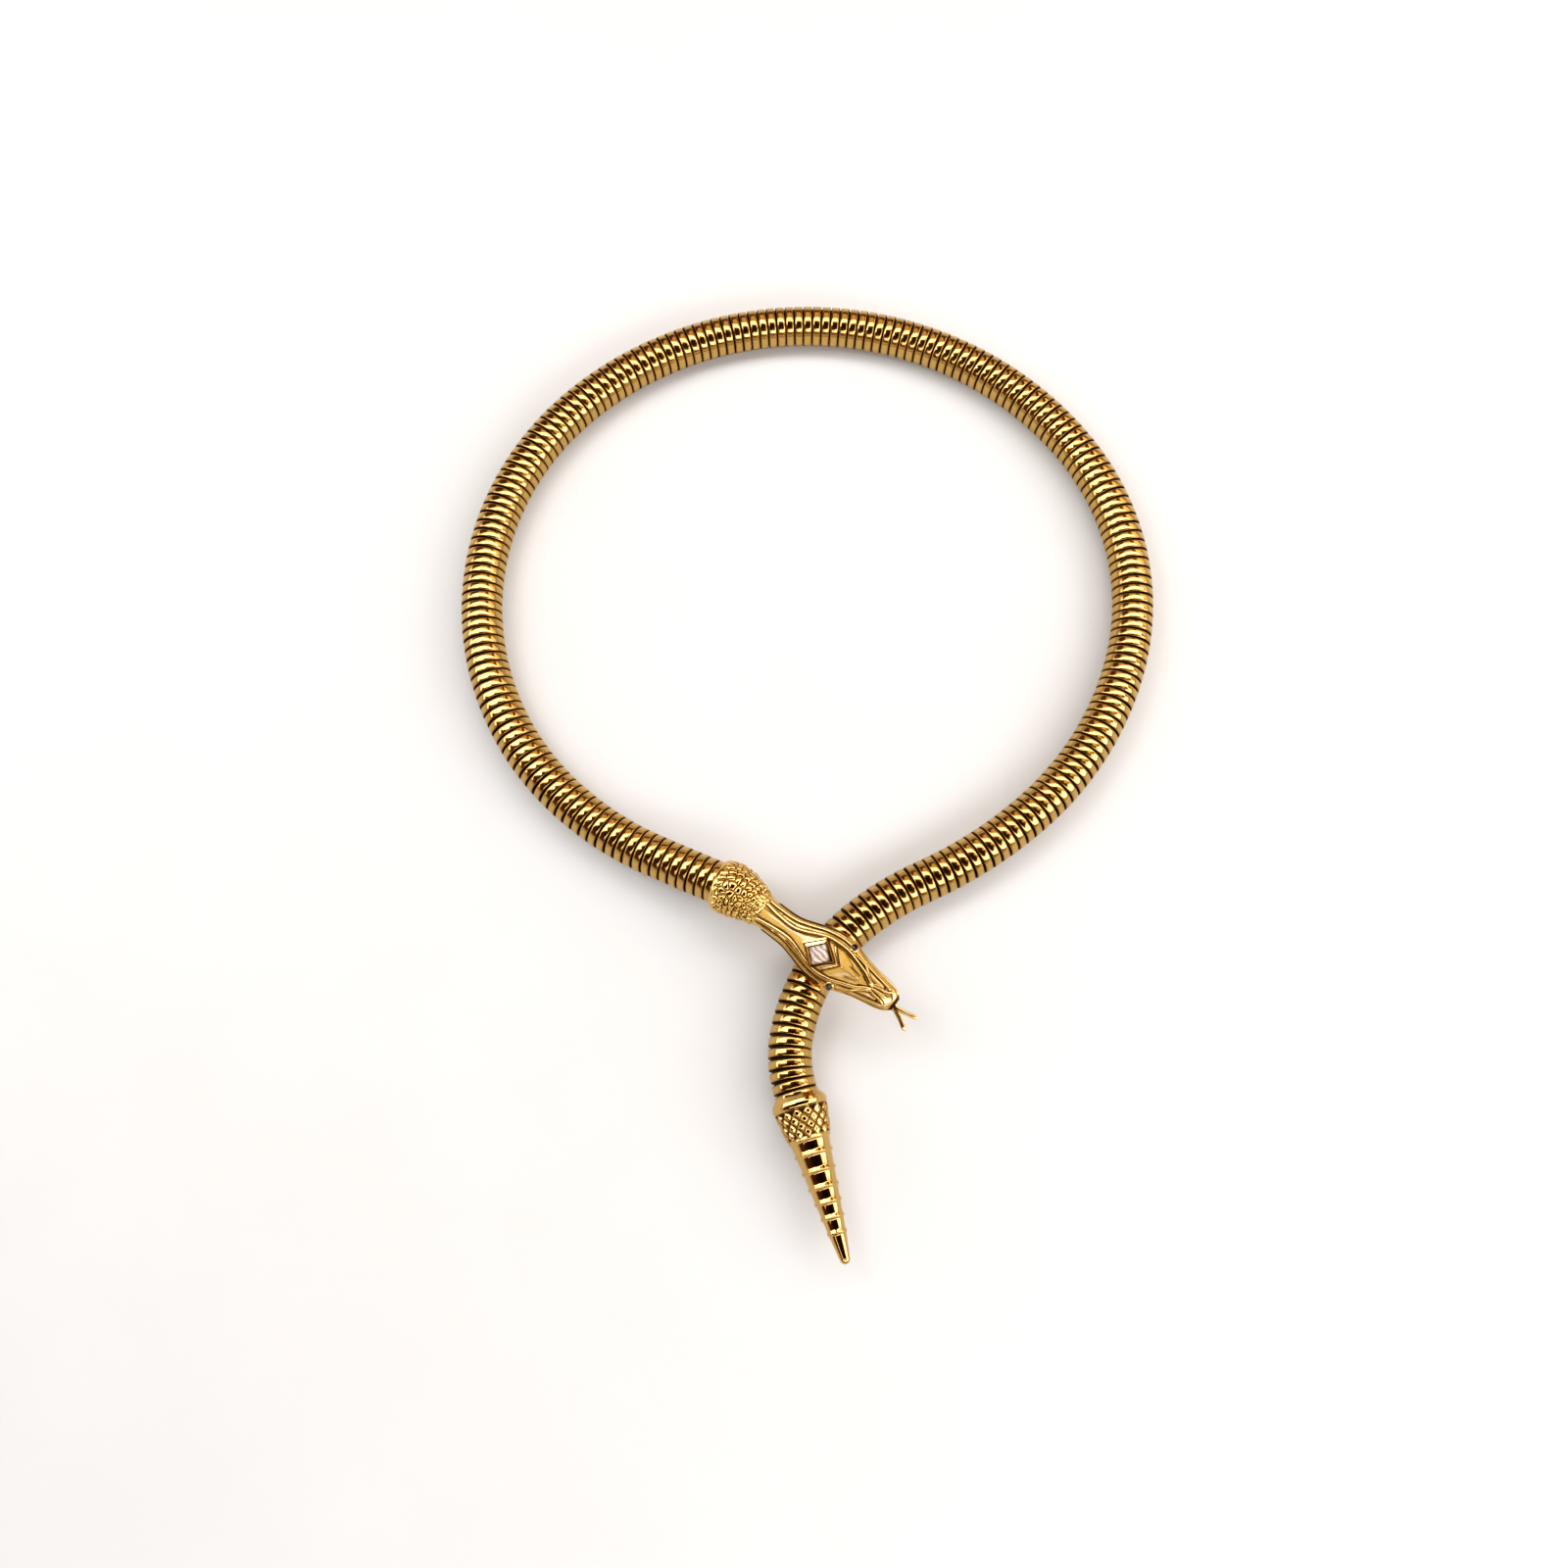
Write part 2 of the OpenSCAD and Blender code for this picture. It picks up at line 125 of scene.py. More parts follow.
def makePiece(name, grids, material, sharpAngle=40):
    # joins grids into one mesh in metres, with a UV map and a point attribute that marks where shade is
    # painted
    vertices, faces, uv, level, offset = [], [], [], [], 0
    for v, quads, triangles, corners, values in grids:
        vertices.append(v * mm)
        faces += (quads + offset).tolist() + (triangles + offset).tolist()
        uv.append(corners)
        level.append(values)
        offset += len(v)
    mesh = bpy.data.meshes.new(name)
    mesh.from_pydata(np.vstack(vertices).tolist(), [], faces)
    mesh.uv_layers.new(name="surface").data.foreach_set("uv", np.vstack(uv).astype(np.float32).ravel())
    recess = mesh.attributes.new("recess", "FLOAT", "POINT")
    recess.data.foreach_set("value", np.concatenate(level).astype(np.float32))
    mesh.shade_smooth()
    mesh.set_sharp_from_angle(angle=math.radians(sharpAngle))
    mesh.materials.append(material)
    mesh.update()
    piece = bpy.data.objects.new(name, mesh)
    bpy.context.scene.collection.objects.link(piece)
    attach(piece, "root")
    print(name, len(faces), "faces")
    return piece


# route of the pipe and the head
route = {
    "pipeRadius": 4.2, "rimRadius": 5.3, "start": (-2.82, -68.39), "startHeading": 106.5,
    "dipRows": (10.6, 26.5), "headRoll": 14.0, "rollLength": 10.0, "socketDepth": 3.0, "step": 0.25,
}
tailDip = math.degrees(math.asin(2 * (route["rimRadius"] - route["pipeRadius"]) / sum(route["dipRows"])))
# the pipe's rows were fitted by a scratch program to points measured in the photo, then rounded
routeRows = np.array([               # length in mm, turn to the left, climb at the end
    (4.5, 0, 0), (10.6, -27.8, -tailDip), (26.5, -40.7, 0), (14.2, -13.6, 0), (26.7, 17.2, 0),
    (38, 32.4, 0), (51.5, 51.5, 0), (57.5, 48, 0), (60.6, 49.5, 0), (71.1, 67, 0),
    (29.2, 28.4, 0), (19.9, 16.3, 5.8), (14.9, 0.4, 10), (8, -15.2, 10), (15.5, 3.9, 10),
    (17.9, 0, -3), (6, 0, -3)])
rowEnds = np.r_[0, np.cumsum(routeRows[:, 0])]
headStart = rowEnds[13]
headLength = rowEnds[16] - headStart


def heading(s):
    # turns added up along the rows, in a straight line within each
    return np.radians(route["startHeading"] + np.interp(s, rowEnds, np.r_[0, np.cumsum(routeRows[:, 1])]))


def climb(s):
    # the climb at the end of each row, in a straight line between
    return np.radians(np.interp(s, rowEnds, np.r_[0, routeRows[:, 2]]))


def roll(s):
    # no roll on the pipe, then eased up to the head's roll
    return np.radians(route["headRoll"]) * easeStep((s - headStart) / route["rollLength"])


middles = (np.arange(int(rowEnds[-1] / route["step"])) + 0.5) * route["step"]
moves = route["step"] * np.stack([np.cos(heading(middles)) * np.cos(climb(middles)),
                                  np.sin(heading(middles)) * np.cos(climb(middles)),
                                  np.sin(climb(middles))], 1)
backwards = math.radians(route["startHeading"])      # the first row runs back from the start into the tail
first = np.array([route["start"][0] - routeRows[0, 0] * math.cos(backwards),
                  route["start"][1] - routeRows[0, 0] * math.sin(backwards), route["rimRadius"]])
routePoints = np.vstack([first, first + np.cumsum(moves, 0)])


def spot(s):
    # point of the route at length s: the short moves added up, straight between
    where = np.arange(len(routePoints)) * route["step"]
    return np.stack([np.interp(s, where, routePoints[:, k]) for k in range(3)], -1)


def axesAt(s):
    # forward, left and up of the route, rolled where the head is
    h, c, t = heading(s), climb(s), roll(s)
    forward = np.stack([np.cos(h) * np.cos(c), np.sin(h) * np.cos(c), np.sin(c)], -1)
    left = np.stack([-np.sin(h), np.cos(h), 0 * h], -1)
    up = np.cross(forward, left)
    t = t[..., None]
    return forward, np.cos(t) * left + np.sin(t) * up, np.cos(t) * up - np.sin(t) * left


def onHead(u, y, z):
    # point at u along the head, y to its left and z above its middle line
    u, y, z = np.broadcast_arrays(np.asarray(u, float), np.asarray(y, float), np.asarray(z, float))
    _, left, up = axesAt(headStart + u)
    return spot(headStart + u) + y[..., None] * left + z[..., None] * up


# materials
def goldPlate(name, light, shadeColour, roughness, grain, bumpDepth, stipple=None):
    # Gold plate on brass, cast or drawn, polished and lacquered: near mirror and warm yellow. In grooves,
    # creases and gaps between parts, shade is painted in as a dull dark brown, without metal shine or coat.
    # Patches of tone are 6 mm across. Grain is given as patches to the metre, about 1 mm each: real polishing
    # lines of 0.05 mm are too fine to show. Depths in metres.
    material, tree, shader = newMaterial(name)
    place = addNode(tree, "ShaderNodeTexCoord")
    recess = addNode(tree, "ShaderNodeAttribute", {"attribute_name": "recess"})
    tone = addNode(tree, "ShaderNodeTexNoise", {"Scale": 160.0, "Detail": 3.0, "Roughness": 0.55},
                   Vector=place.outputs["Object"])
    toneShift = addNode(tree, "ShaderNodeMapRange", {"From Min": 0.3, "From Max": 0.7, "To Min": -0.07,
                                                     "To Max": 0.07}, Value=tone.outputs["Fac"])
    # painted shade, raised or lowered by tone that differs at random
    depth = addNode(tree, "ShaderNodeMath", {"operation": "ADD", "use_clamp": True},
                    i0=recess.outputs["Fac"], i1=toneShift.outputs["Result"])
    colour = addNode(tree, "ShaderNodeMix", {"data_type": "RGBA"}, i0=depth.outputs["Value"])
    colour.inputs[6].default_value = linearColour(light)
    colour.inputs[7].default_value = linearColour(shadeColour)
    tree.links.new(colour.outputs[2], shader.inputs["Base Color"])
    fine = addNode(tree, "ShaderNodeTexNoise", {"Scale": grain, "Detail": 4.0, "Roughness": 0.6},
                   Vector=place.outputs["Object"])
    rough = addNode(tree, "ShaderNodeMapRange", {"From Min": 0.25, "From Max": 0.75, "To Min": roughness[0],
                                                 "To Max": roughness[1]}, Value=fine.outputs["Fac"])
    wear = addNode(tree, "ShaderNodeMath", {"operation": "MULTIPLY_ADD", "use_clamp": True},
                   i0=recess.outputs["Fac"], i2=rough.outputs["Result"])
    wear.inputs[1].default_value = 0.25
    tree.links.new(wear.outputs["Value"], shader.inputs["Roughness"])
    relief = addNode(tree, "ShaderNodeBump", {"Strength": 0.5, "Distance": bumpDepth},
                     Height=fine.outputs["Fac"])
    if stipple:                           # punched fields 0.2 mm in grain, where the attribute "matt" is 1
        matt = addNode(tree, "ShaderNodeAttribute", {"attribute_name": "matt"})
        grains = addNode(tree, "ShaderNodeTexNoise", {"Scale": stipple["scale"], "Detail": 2.0,
                                                      "Roughness": 0.7}, Vector=place.outputs["Object"])
        punched = addNode(tree, "ShaderNodeMath", {"operation": "MULTIPLY"}, i0=grains.outputs["Fac"],
                          i1=matt.outputs["Fac"])
        relief = addNode(tree, "ShaderNodeBump", {"Strength": 0.9, "Distance": stipple["depth"]},
                         Height=punched.outputs["Value"], Normal=relief.outputs["Normal"])
        dull = addNode(tree, "ShaderNodeMath", {"operation": "MULTIPLY_ADD", "use_clamp": True},
                       i0=matt.outputs["Fac"], i2=wear.outputs["Value"])
        dull.inputs[1].default_value = stipple["dull"]
        tree.links.new(dull.outputs["Value"], shader.inputs["Roughness"])
    tree.links.new(relief.outputs["Normal"], shader.inputs["Normal"])
    metalOutsideShade = addNode(tree, "ShaderNodeMapRange", {"From Min": 0.35, "From Max": 0.95, "To Min": 1.0,
                                                "To Max": 0.2}, Value=recess.outputs["Fac"])
    tree.links.new(metalOutsideShade.outputs["Result"], shader.inputs["Metallic"])
    shader.inputs["Specular Tint"].default_value = linearColour("#FFDDA0")
    shader.inputs["Specular IOR Level"].default_value = 0.12      # the painted shade in the recesses has little shine
    lacquer = addNode(tree, "ShaderNodeMapRange", {"From Min": 0.15, "From Max": 0.7, "To Min": 1.0,
                                                   "To Max": 0.0}, Value=recess.outputs["Fac"])
    tree.links.new(lacquer.outputs["Result"], shader.inputs["Coat Weight"])      # whitens the highlights
    shader.inputs["Coat Roughness"].default_value = 0.05
    shader.inputs["Coat IOR"].default_value = 1.7
    return material


# rolled strip: smooth and bright on the crowns, with shade painted near black where the ribs meet
pipeGold = goldPlate("gold plated brass strip, polished", "#B58A3C", "#140600", (0.12, 0.2), 900.0, 0.000003)
# hand-finished casting: softer glints, paler, with frosted fields
castGold = goldPlate("gold plated brass casting, satin polished", "#D6AA5E", "#2A1002", (0.18, 0.26),
                     1400.0, 0.000008, {"scale": 5200.0, "depth": 0.00006, "dull": 0.34})
# turned and buffed cone: the clearest mirror, so the room shows in it
tailGold = goldPlate("gold plated brass casting, bright polished", "#BC9146", "#140600", (0.08, 0.12),
                     1100.0, 0.000001)
# each scale buffed on top: small sharp glints over creases painted brown as shade
socketGold = goldPlate("gold plated brass casting, polished scales", "#D0A350", "#1C0A01", (0.1, 0.16),
                       1400.0, 0.000003)
# hidden fitting left as it was bent: flat and dull
claspBrass = goldPlate("brass strap, dull", "#B98A3E", "#4A3010", (0.35, 0.5), 1500.0, 0.00002)


def clearStone(name, tint, dark, ior, roughness, clear):
    # Glass cut and polished: bright, with sharp glints. The facets' glints are too fine to show, so they are
    # drawn as wavering strokes, about 0.8 mm apart.
    material, tree, shader = newMaterial(name)
    place = addNode(tree, "ShaderNodeTexCoord")
    cloud = addNode(tree, "ShaderNodeTexNoise", {"Scale": 700.0, "Detail": 2.0},
                    Vector=place.outputs["Object"])
    shade = addNode(tree, "ShaderNodeMapRange", {"From Min": 0.3, "From Max": 0.7, "To Min": roughness,
                                                 "To Max": roughness + 0.03}, Value=cloud.outputs["Fac"])
    tree.links.new(shade.outputs["Result"], shader.inputs["Roughness"])
    stroke = addNode(tree, "ShaderNodeTexWave", {"bands_direction": "DIAGONAL", "Scale": 430.0,
                                                 "Distortion": 4.0, "Detail": 2.0, "Detail Scale": 1.6},
                     Vector=place.outputs["Object"])
    glint = addNode(tree, "ShaderNodeMapRange", {"From Min": 0.2, "From Max": 0.8},
                    Value=stroke.outputs["Fac"])
    colour = addNode(tree, "ShaderNodeMix", {"data_type": "RGBA"}, i0=glint.outputs["Result"])
    colour.inputs[6].default_value = linearColour(dark)
    colour.inputs[7].default_value = linearColour(tint)
    tree.links.new(colour.outputs[2], shader.inputs["Base Color"])
    shader.inputs["Transmission Weight"].default_value = clear
    shader.inputs["IOR"].default_value = ior
    return material


def silverFoil(name, tint, shade):
    # folded silver foil, tinted by age: white strokes painted on the fold crests as glints, on a pinkish grey
    # that stands as painted shade in the valleys, crinkled in patches of 1 mm
    material, tree, shader = newMaterial(name)
    fold = addNode(tree, "ShaderNodeAttribute", {"attribute_name": "recess"})
    stroke = addNode(tree, "ShaderNodeMapRange", {"From Min": 0.35, "From Max": 0.6},
                     Value=fold.outputs["Fac"])
    colour = addNode(tree, "ShaderNodeMix", {"data_type": "RGBA"}, i0=stroke.outputs["Result"])
    colour.inputs[6].default_value = linearColour(tint)
    colour.inputs[7].default_value = linearColour(shade)
    tree.links.new(colour.outputs[2], shader.inputs["Base Color"])
    place = addNode(tree, "ShaderNodeTexCoord")
    crinkle = addNode(tree, "ShaderNodeTexNoise", {"Scale": 900.0, "Detail": 2.0},
                      Vector=place.outputs["Object"])
    relief = addNode(tree, "ShaderNodeBump", {"Strength": 0.6, "Distance": 0.00005},
                     Height=crinkle.outputs["Fac"])
    tree.links.new(relief.outputs["Normal"], shader.inputs["Normal"])
    shader.inputs["Metallic"].default_value = 0.25     # dulled with age, so it is mostly white
    shader.inputs["Roughness"].default_value = 0.25
    return material


stoneGlass = clearStone("paste stone, clear cut glass", "#FFFAF6", "#BFA394", 1.55, 0.01, 0.4)
# the eyes' glass is tinted dark grey as a painted reflection of the dim room overhead
eyeGlass = clearStone("small paste stone, cut glass painted dark", "#5C5456", "#1E1614", 1.6, 0.01, 0.5)
foil = silverFoil("silver foil behind the stone", "#FFFCFA", "#B39488")
print("materials made")

# gas pipe
pipe = {
    "pitch": 1.97, "gap": 0.2, "dome": 0.2, "bendShare": 0.12, "floorRadius": 3.6, "sides": 34, "lean": 0.32,
    # across a rib: place as a share of its half width, drop below the pipe's radius in mm, painted shade
    "section": ((-1.0, None, 1.0), (-1.0, 0.42, 1.0), (-0.95, 0.19, 1.0), (-0.86, 0.07, 0.55),
                (-0.5, 0.012, 0.0), (0.0, 0.0, 0.0), (0.5, 0.012, 0.0), (0.86, 0.07, 0.55),
                (0.95, 0.19, 1.0), (1.0, 0.42, 1.0), (1.0, None, 1.0)),
}


def ribRoom(s):
    # pitch * (1 - share * (radius - dome) * bend) - gap, where bend is a row's turn over its length
    row = np.clip(np.searchsorted(rowEnds, s, side="right") - 1, 0, len(routeRows) - 1)
    bend = np.abs(np.radians(routeRows[row, 1])) / routeRows[row, 0]
    return pipe["pitch"] * (1 - pipe["bendShare"] * (route["pipeRadius"] - pipe["dome"]) * bend) - pipe["gap"]


def pipeSurface():
    # every rib is its section turned round the route: p = spot + x forward + r (cos a left + sin a up)
    count = int((headStart + route["socketDepth"]) // pipe["pitch"])
    s = (np.arange(count) + 0.5) * pipe["pitch"]
    width = np.minimum(np.minimum(ribRoom(np.maximum(s - pipe["pitch"], 0)), ribRoom(s)),
                       ribRoom(s + pipe["pitch"]))
    share = np.array([q[0] for q in pipe["section"]])
    radius = np.array([pipe["floorRadius"] if q[1] is None else route["pipeRadius"] - q[1]
                       for q in pipe["section"]])
    # shade painted full in the gap between ribs and half on their shoulders
    recess = np.array([q[2] for q in pipe["section"]])
    a = np.arange(pipe["sides"]) * 2 * np.pi / pipe["sides"]
    forward, left, up = axesAt(s)
    tilt = np.radians(pipe["lean"]) * (np.stack([hashed(s, 1), hashed(s, 2)], 1) - 0.5) * 2
    x = 0.5 * width[:, None] * share[None, :]
    ring = (radius[None, :, None, None] * (np.cos(a)[None, None, :, None] * left[:, None, None, :]
                                           + np.sin(a)[None, None, :, None] * up[:, None, None, :]))
    lean = radius[None, :, None] * (np.cos(a)[None, None, :] * tilt[:, 0, None, None]
                                    + np.sin(a)[None, None, :] * tilt[:, 1, None, None])
    points = spot(s)[:, None, None, :] + (x[:, :, None] + lean)[..., None] * forward[:, None, None, :] + ring
    points = points.reshape(-1, pipe["sides"], 3)
    level = np.broadcast_to(recess[None, :, None], (count, len(share), pipe["sides"])).reshape(
        -1, pipe["sides"])
    along = np.repeat(s, len(share)) + x.ravel()
    return grid(points, np.arange(pipe["sides"] + 1) / pipe["sides"] * 26.4, along, capStart=True,
                capEnd=True, values=level)


gasPipe = makePiece("gasPipeRibs", [pipeSurface()], pipeGold, sharpAngle=50)
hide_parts("gas_pipe", "pipe_core")

# tail casting
tail = {
    "length": 31.2, "capStart": 3.0, "tipRadius": 0.95, "columns": 150, "step": 0.07,
    # diamond scales: how many round, first row, distance of the rows, height, strength of the shade painted
    # in the grooves, and where they fade in and out
    "scales": 14, "scaleStart": 3.45, "scaleStep": 1.2, "scaleLift": 0.34, "groove": 0.95,
    "scaleZone": (2.2, 8.0),
    # ridges: length of the rise and of the fall, hollow between them, softening over three rows
    "rise": 0.72, "fall": 0.4, "sag": 0.05, "soften": (0.28, 0.44, 0.28),
    # rim and cap: place, radius
    "cap": ((0.0, 4.45), (0.35, 4.7), (0.9, 5.12), (1.6, 5.3), (2.15, 5.2), (2.6, 4.9), (2.9, 4.72),
            (7.6, 3.95)),
    # rings: place, radius of the ridge, radius of the plain taper under it
    "rings": ((8.2, 4.12, 3.84), (10.9, 3.74, 3.44), (14.1, 3.34, 3.04), (17.1, 3.0, 2.71),
              (19.9, 2.67, 2.39), (22.7, 2.3, 2.04), (25.5, 1.93, 1.71)),
}


def tailSurface():
    # radius(x) = cap and taper, straight between the knots, + each ring's ridge, h (1 - d / w), where w is
    # the long rise on the cap's side and the short fall on the tip's side
    rings = np.array(tail["rings"])
    end = tail["length"] - tail["tipRadius"]
    knots = np.array([*tail["cap"], *rings[:, [0, 2]], (end, tail["tipRadius"] * 1.02)])
    x = np.r_[np.arange(0, end, tail["step"]),
              end + tail["tipRadius"] * np.sin(np.linspace(0, np.pi / 2, 14)[:-1])]
    radius = np.interp(x, knots[:, 0], knots[:, 1])
    after = np.clip(np.searchsorted(rings[:, 0], x) - 1, 0, len(rings) - 2)
    t = (x - rings[after, 0]) / (rings[after + 1, 0] - rings[after, 0])
    radius -= tail["sag"] * np.where((t > 0) & (t < 1), 4 * t * (1 - t), 0)
    d = x[:, None] - rings[None, :, 0]
    d = np.clip(np.where(d < 0, -d / tail["rise"], d / tail["fall"]), 0, 1)
    radius += ((1 - d) * (rings[:, 1] - rings[:, 2])).sum(1)
    radius = np.convolve(np.pad(radius, 1, mode="edge"), tail["soften"], mode="valid")
    tip = x > end
    radius[tip] = np.sqrt(np.maximum(tail["tipRadius"] ** 2 - (x[tip] - end) ** 2, 1e-4))
    a = np.arange(tail["columns"]) * 2 * np.pi / tail["columns"]
    # diamonds: t = 1 - |dp| - 2 |dq| from the nearest centre of a staggered lattice
    p = (x[:, None] - tail["scaleStart"]) / tail["scaleStep"] + 0 * a[None, :]
    q = a[None, :] * tail["scales"] / (2 * np.pi) + 0 * p
    t = np.full(p.shape, -1.0)
    for shift in (0, 1):
        row = 2 * np.round((p - shift) / 2) + shift
        column = np.round(q - shift * 0.5) + shift * 0.5
        inside = (row >= 0) & (row <= 3)
        t = np.maximum(t, np.where(inside, 1 - np.abs(p - row) - 2 * np.abs(q - column), -1))
    lift = tail["scaleLift"] * easeStep(t / 0.62) * (t > 0)
    zone = easeStep((x - tail["scaleZone"][0]) / 0.5) * easeStep((tail["scaleZone"][1] - x) / 0.5)
    # shade painted dark in the grooves between the scales
    recess = zone[:, None] * easeStep((0.34 - t) / 0.3) * tail["groove"]
    h = math.radians(route["startHeading"] + 180)
    forward = np.array([math.cos(h), math.sin(h), 0])
    left = np.array([-math.sin(h), math.cos(h), 0])
    r = radius[:, None] + lift * zone[:, None]
    up = np.array([0, 0, 1.0])
    points = (spot(tail["capStart"]) + x[:, None, None] * forward
              + r[..., None] * (np.cos(a)[None, :, None] * left + np.sin(a)[None, :, None] * up))
    return grid(points, np.arange(tail["columns"] + 1) * 2 * np.pi * 4 / tail["columns"], x, capStart=True,
                capEnd=True, values=recess)


tailPiece = makePiece("tailCasting", [tailSurface()], tailGold, sharpAngle=60)
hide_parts("tail_finial")

# head casting
head = {
    # place along the head, half width, rise, drop, squareness
    "sections": ((0, 4.7, 4.7, 4.7, 2), (1, 4.95, 4.95, 4.95, 2), (3, 5.0, 5.05, 4.95, 2),
                 (5, 4.7, 4.75, 4.6, 2), (7, 4.1, 4.2, 3.9, 2), (9, 3.55, 3.65, 3.2, 2.05),
                 (11.5, 3.15, 3.25, 2.6, 2.2), (15, 3.1, 3.05, 2.3, 2.3), (18, 3.45, 3.0, 2.1, 2.4),
                 (21, 4.25, 3.0, 2.0, 2.5), (24, 5.1, 3.1, 2.1, 2.5), (27, 5.35, 3.15, 2.2, 2.5),
                 (29, 5.15, 3.1, 2.3, 2.5), (31, 4.5, 2.95, 2.3, 2.4), (33, 3.85, 2.75, 2.2, 2.4),
                 (36, 3.25, 2.4, 2.0, 2.4), (38.5, 2.85, 2.0, 1.7, 2.3), (40.2, 2.25, 1.5, 1.5, 2.2),
                 (41.4, 1.2, 0.8, 0.9, 2)),
    # sunk matt field between the brows: place, y
    "field": ((9.8, 0.4), (10.6, 0.85), (11.6, 0.98), (14.5, 0.84), (18, 0.7), (20.3, 1.2), (22.4, 2.05),
              (25.3, 2.9), (28.6, 2.8), (30.1, 2.2), (31.3, 1.45), (32.4, 0.6), (33.1, 0.0)),
    # lines cast on the head: place, y
    "brow": ((8, 1.9), (11.2, 1.7), (14.5, 1.25), (18, 1.1), (20.3, 1.65), (22.4, 2.5), (25.3, 3.35),
             (28.6, 3.25), (31.4, 2.42), (33.0, 1.85), (33.8, 1.55), (34.9, 0.85), (35.8, 0.4), (36.5, 0.3)),
    "strand": ((8, 3.0), (9.4, 2.95), (11.5, 2.45), (15, 2.35), (18, 2.55), (21, 3.35), (24, 4.2),
               (27.5, 4.5), (29.5, 4.1), (31, 3.75), (33.6, 3.1), (37.2, 2.4), (39.4, 1.9), (41.4, 0.95)),
    "cheek": ((29.9, 3.35), (31.9, 3.0), (33.4, 2.5), (34.4, 1.72), (35.4, 0.95), (36.3, 0.55)),
    "lip": ((35.9, 0.42), (37.1, 0.72), (38.6, 0.92), (39.3, 1.25), (39.9, 1.8)),
    # each line's start and end, offset, half width, height
    "wires": (("brow", 10.6, 36.3, 0.0, 0.41, 0.36), ("strand", 10.6, 29.4, 0.0, 0.35, 0.3),
              ("strand", 12.2, 27.6, 0.66, 0.2, 0.16), ("cheek", 29.9, 36.3, 0.0, 0.24, 0.22),
              ("lip", 35.9, 39.9, 0.0, 0.24, 0.24), ("strand", 32.4, 39.6, -0.35, 0.28, 0.24)),
    # short straight lines: start, end, points, half width, height, sink, taper (made twice off the middle)
    "strips": (((29.3, 0), (33.4, 0), 20, 0.24, 0.26, 0.5, 0.4),
               ((36.2, 0), (39.6, 0), 18, 0.3, 0.26, 0.4, 0.5),
               ((30.7, 1.3), (33.7, 0.42), 14, 0.17, 0.18, 0.4, 0.4),
               ((33.6, 1.0), (34.9, 0.38), 8, 0.15, 0.16, 0.4, 0.3)),
    "lipArc": (40.45, 1.9, 2.0),                  # foremost place, how far its ends lie back, half width
    "vee": (29.15, (26.45, 2.75)),                # apex, end of an arm
    "samples": (20, 16, 14, 12), "rows": 330, "start": 8.2,
    "bezel": (24.45, -0.05, 3.55, 3.05),          # middle, half length and half width of the stone's frame
    "nostril": (38.1, 1.45, 0.4),                 # place, y, radius
    # depths: field, keel in its tip, groove beside a line, gap round the frame, nostril, mouth, tuck under
    # the socket
    "fieldDepth": 0.3, "keelRise": 0.34, "grooveDepth": 0.14, "gapDepth": 0.25, "nostrilDepth": 0.42,
    "mouthDepth": 0.34, "tuck": 0.3,
}


def smoothTable(table, column, u):
    # cubic through the rows, with the slope at a row taken from its neighbours
    table = np.array(table, float)
    x, y = table[:, 0], table[:, column]
    before, after = np.maximum(np.arange(len(x)) - 1, 0), np.minimum(np.arange(len(x)) + 1, len(x) - 1)
    slope = (y[after] - y[before]) / (x[after] - x[before])
    i = np.clip(np.searchsorted(x, u, side="right") - 1, 0, len(x) - 2)
    h = x[i + 1] - x[i]
    t = np.clip((u - x[i]) / h, 0, 1)
    e = easeStep(t)
    return y[i] * (1 - e) + y[i + 1] * e + h * t * (1 - t) * ((1 - t) * slope[i] - t * slope[i + 1])


def headSkin(u, a):
    # super-ellipse section: y = w cos(a)^(2/n), z = rise or drop times sin(a)^(2/n)
    n = smoothTable(head["sections"], 4, u)
    high = np.where(np.sin(a) >= 0, smoothTable(head["sections"], 2, u), smoothTable(head["sections"], 3, u))
    y = np.sign(np.cos(a)) * np.abs(np.cos(a)) ** (2 / n) * smoothTable(head["sections"], 1, u)
    z = np.sign(np.sin(a)) * np.abs(np.sin(a)) ** (2 / n) * high
    return y, z


def topHeight(u, y):
    # the skin's height over the point u, y: z = rise (1 - |y / w|^n)^(1 / n)
    n = smoothTable(head["sections"], 4, u)
    side = np.minimum(np.abs(y) / smoothTable(head["sections"], 1, u), 1)
    return smoothTable(head["sections"], 2, u) * (1 - side ** n) ** (1 / n)


def outward(points):
    # unit normals of a grid that closes round its columns, pointing away from the row's middle
    du = np.gradient(points, axis=0)
    dv = np.roll(points, -1, 1) - np.roll(points, 1, 1)
    normal = np.cross(du, dv)
    normal /= np.maximum(np.linalg.norm(normal, axis=2, keepdims=True), 1e-9)
    away = points - points.mean(1, keepdims=True)
    return normal * np.sign((normal * away).sum(2, keepdims=True))


crossing = {"s": 31.4, "radius": 5.25, "reach": 7.5}      # place on the route, seat's radius, its half length


def clearOfPipe(points):
    # lifts the underside to the keeper's round seat, z >= z0 + sqrt(R^2 - d^2) over the pipe
    middle = spot(np.array(crossing["s"]))
    h = heading(crossing["s"])
    along = (points[..., 0] - middle[0]) * math.cos(h) + (points[..., 1] - middle[1]) * math.sin(h)
    beside = -(points[..., 0] - middle[0]) * math.sin(h) + (points[..., 1] - middle[1]) * math.cos(h)
    seat = middle[2] + np.sqrt(np.maximum(crossing["radius"] ** 2 - beside ** 2, 0))
    near = (np.abs(along) < crossing["reach"]) & (np.abs(beside) < crossing["radius"])
    points[..., 2] = np.where(near, np.maximum(points[..., 2], seat), points[..., 2])
    return points


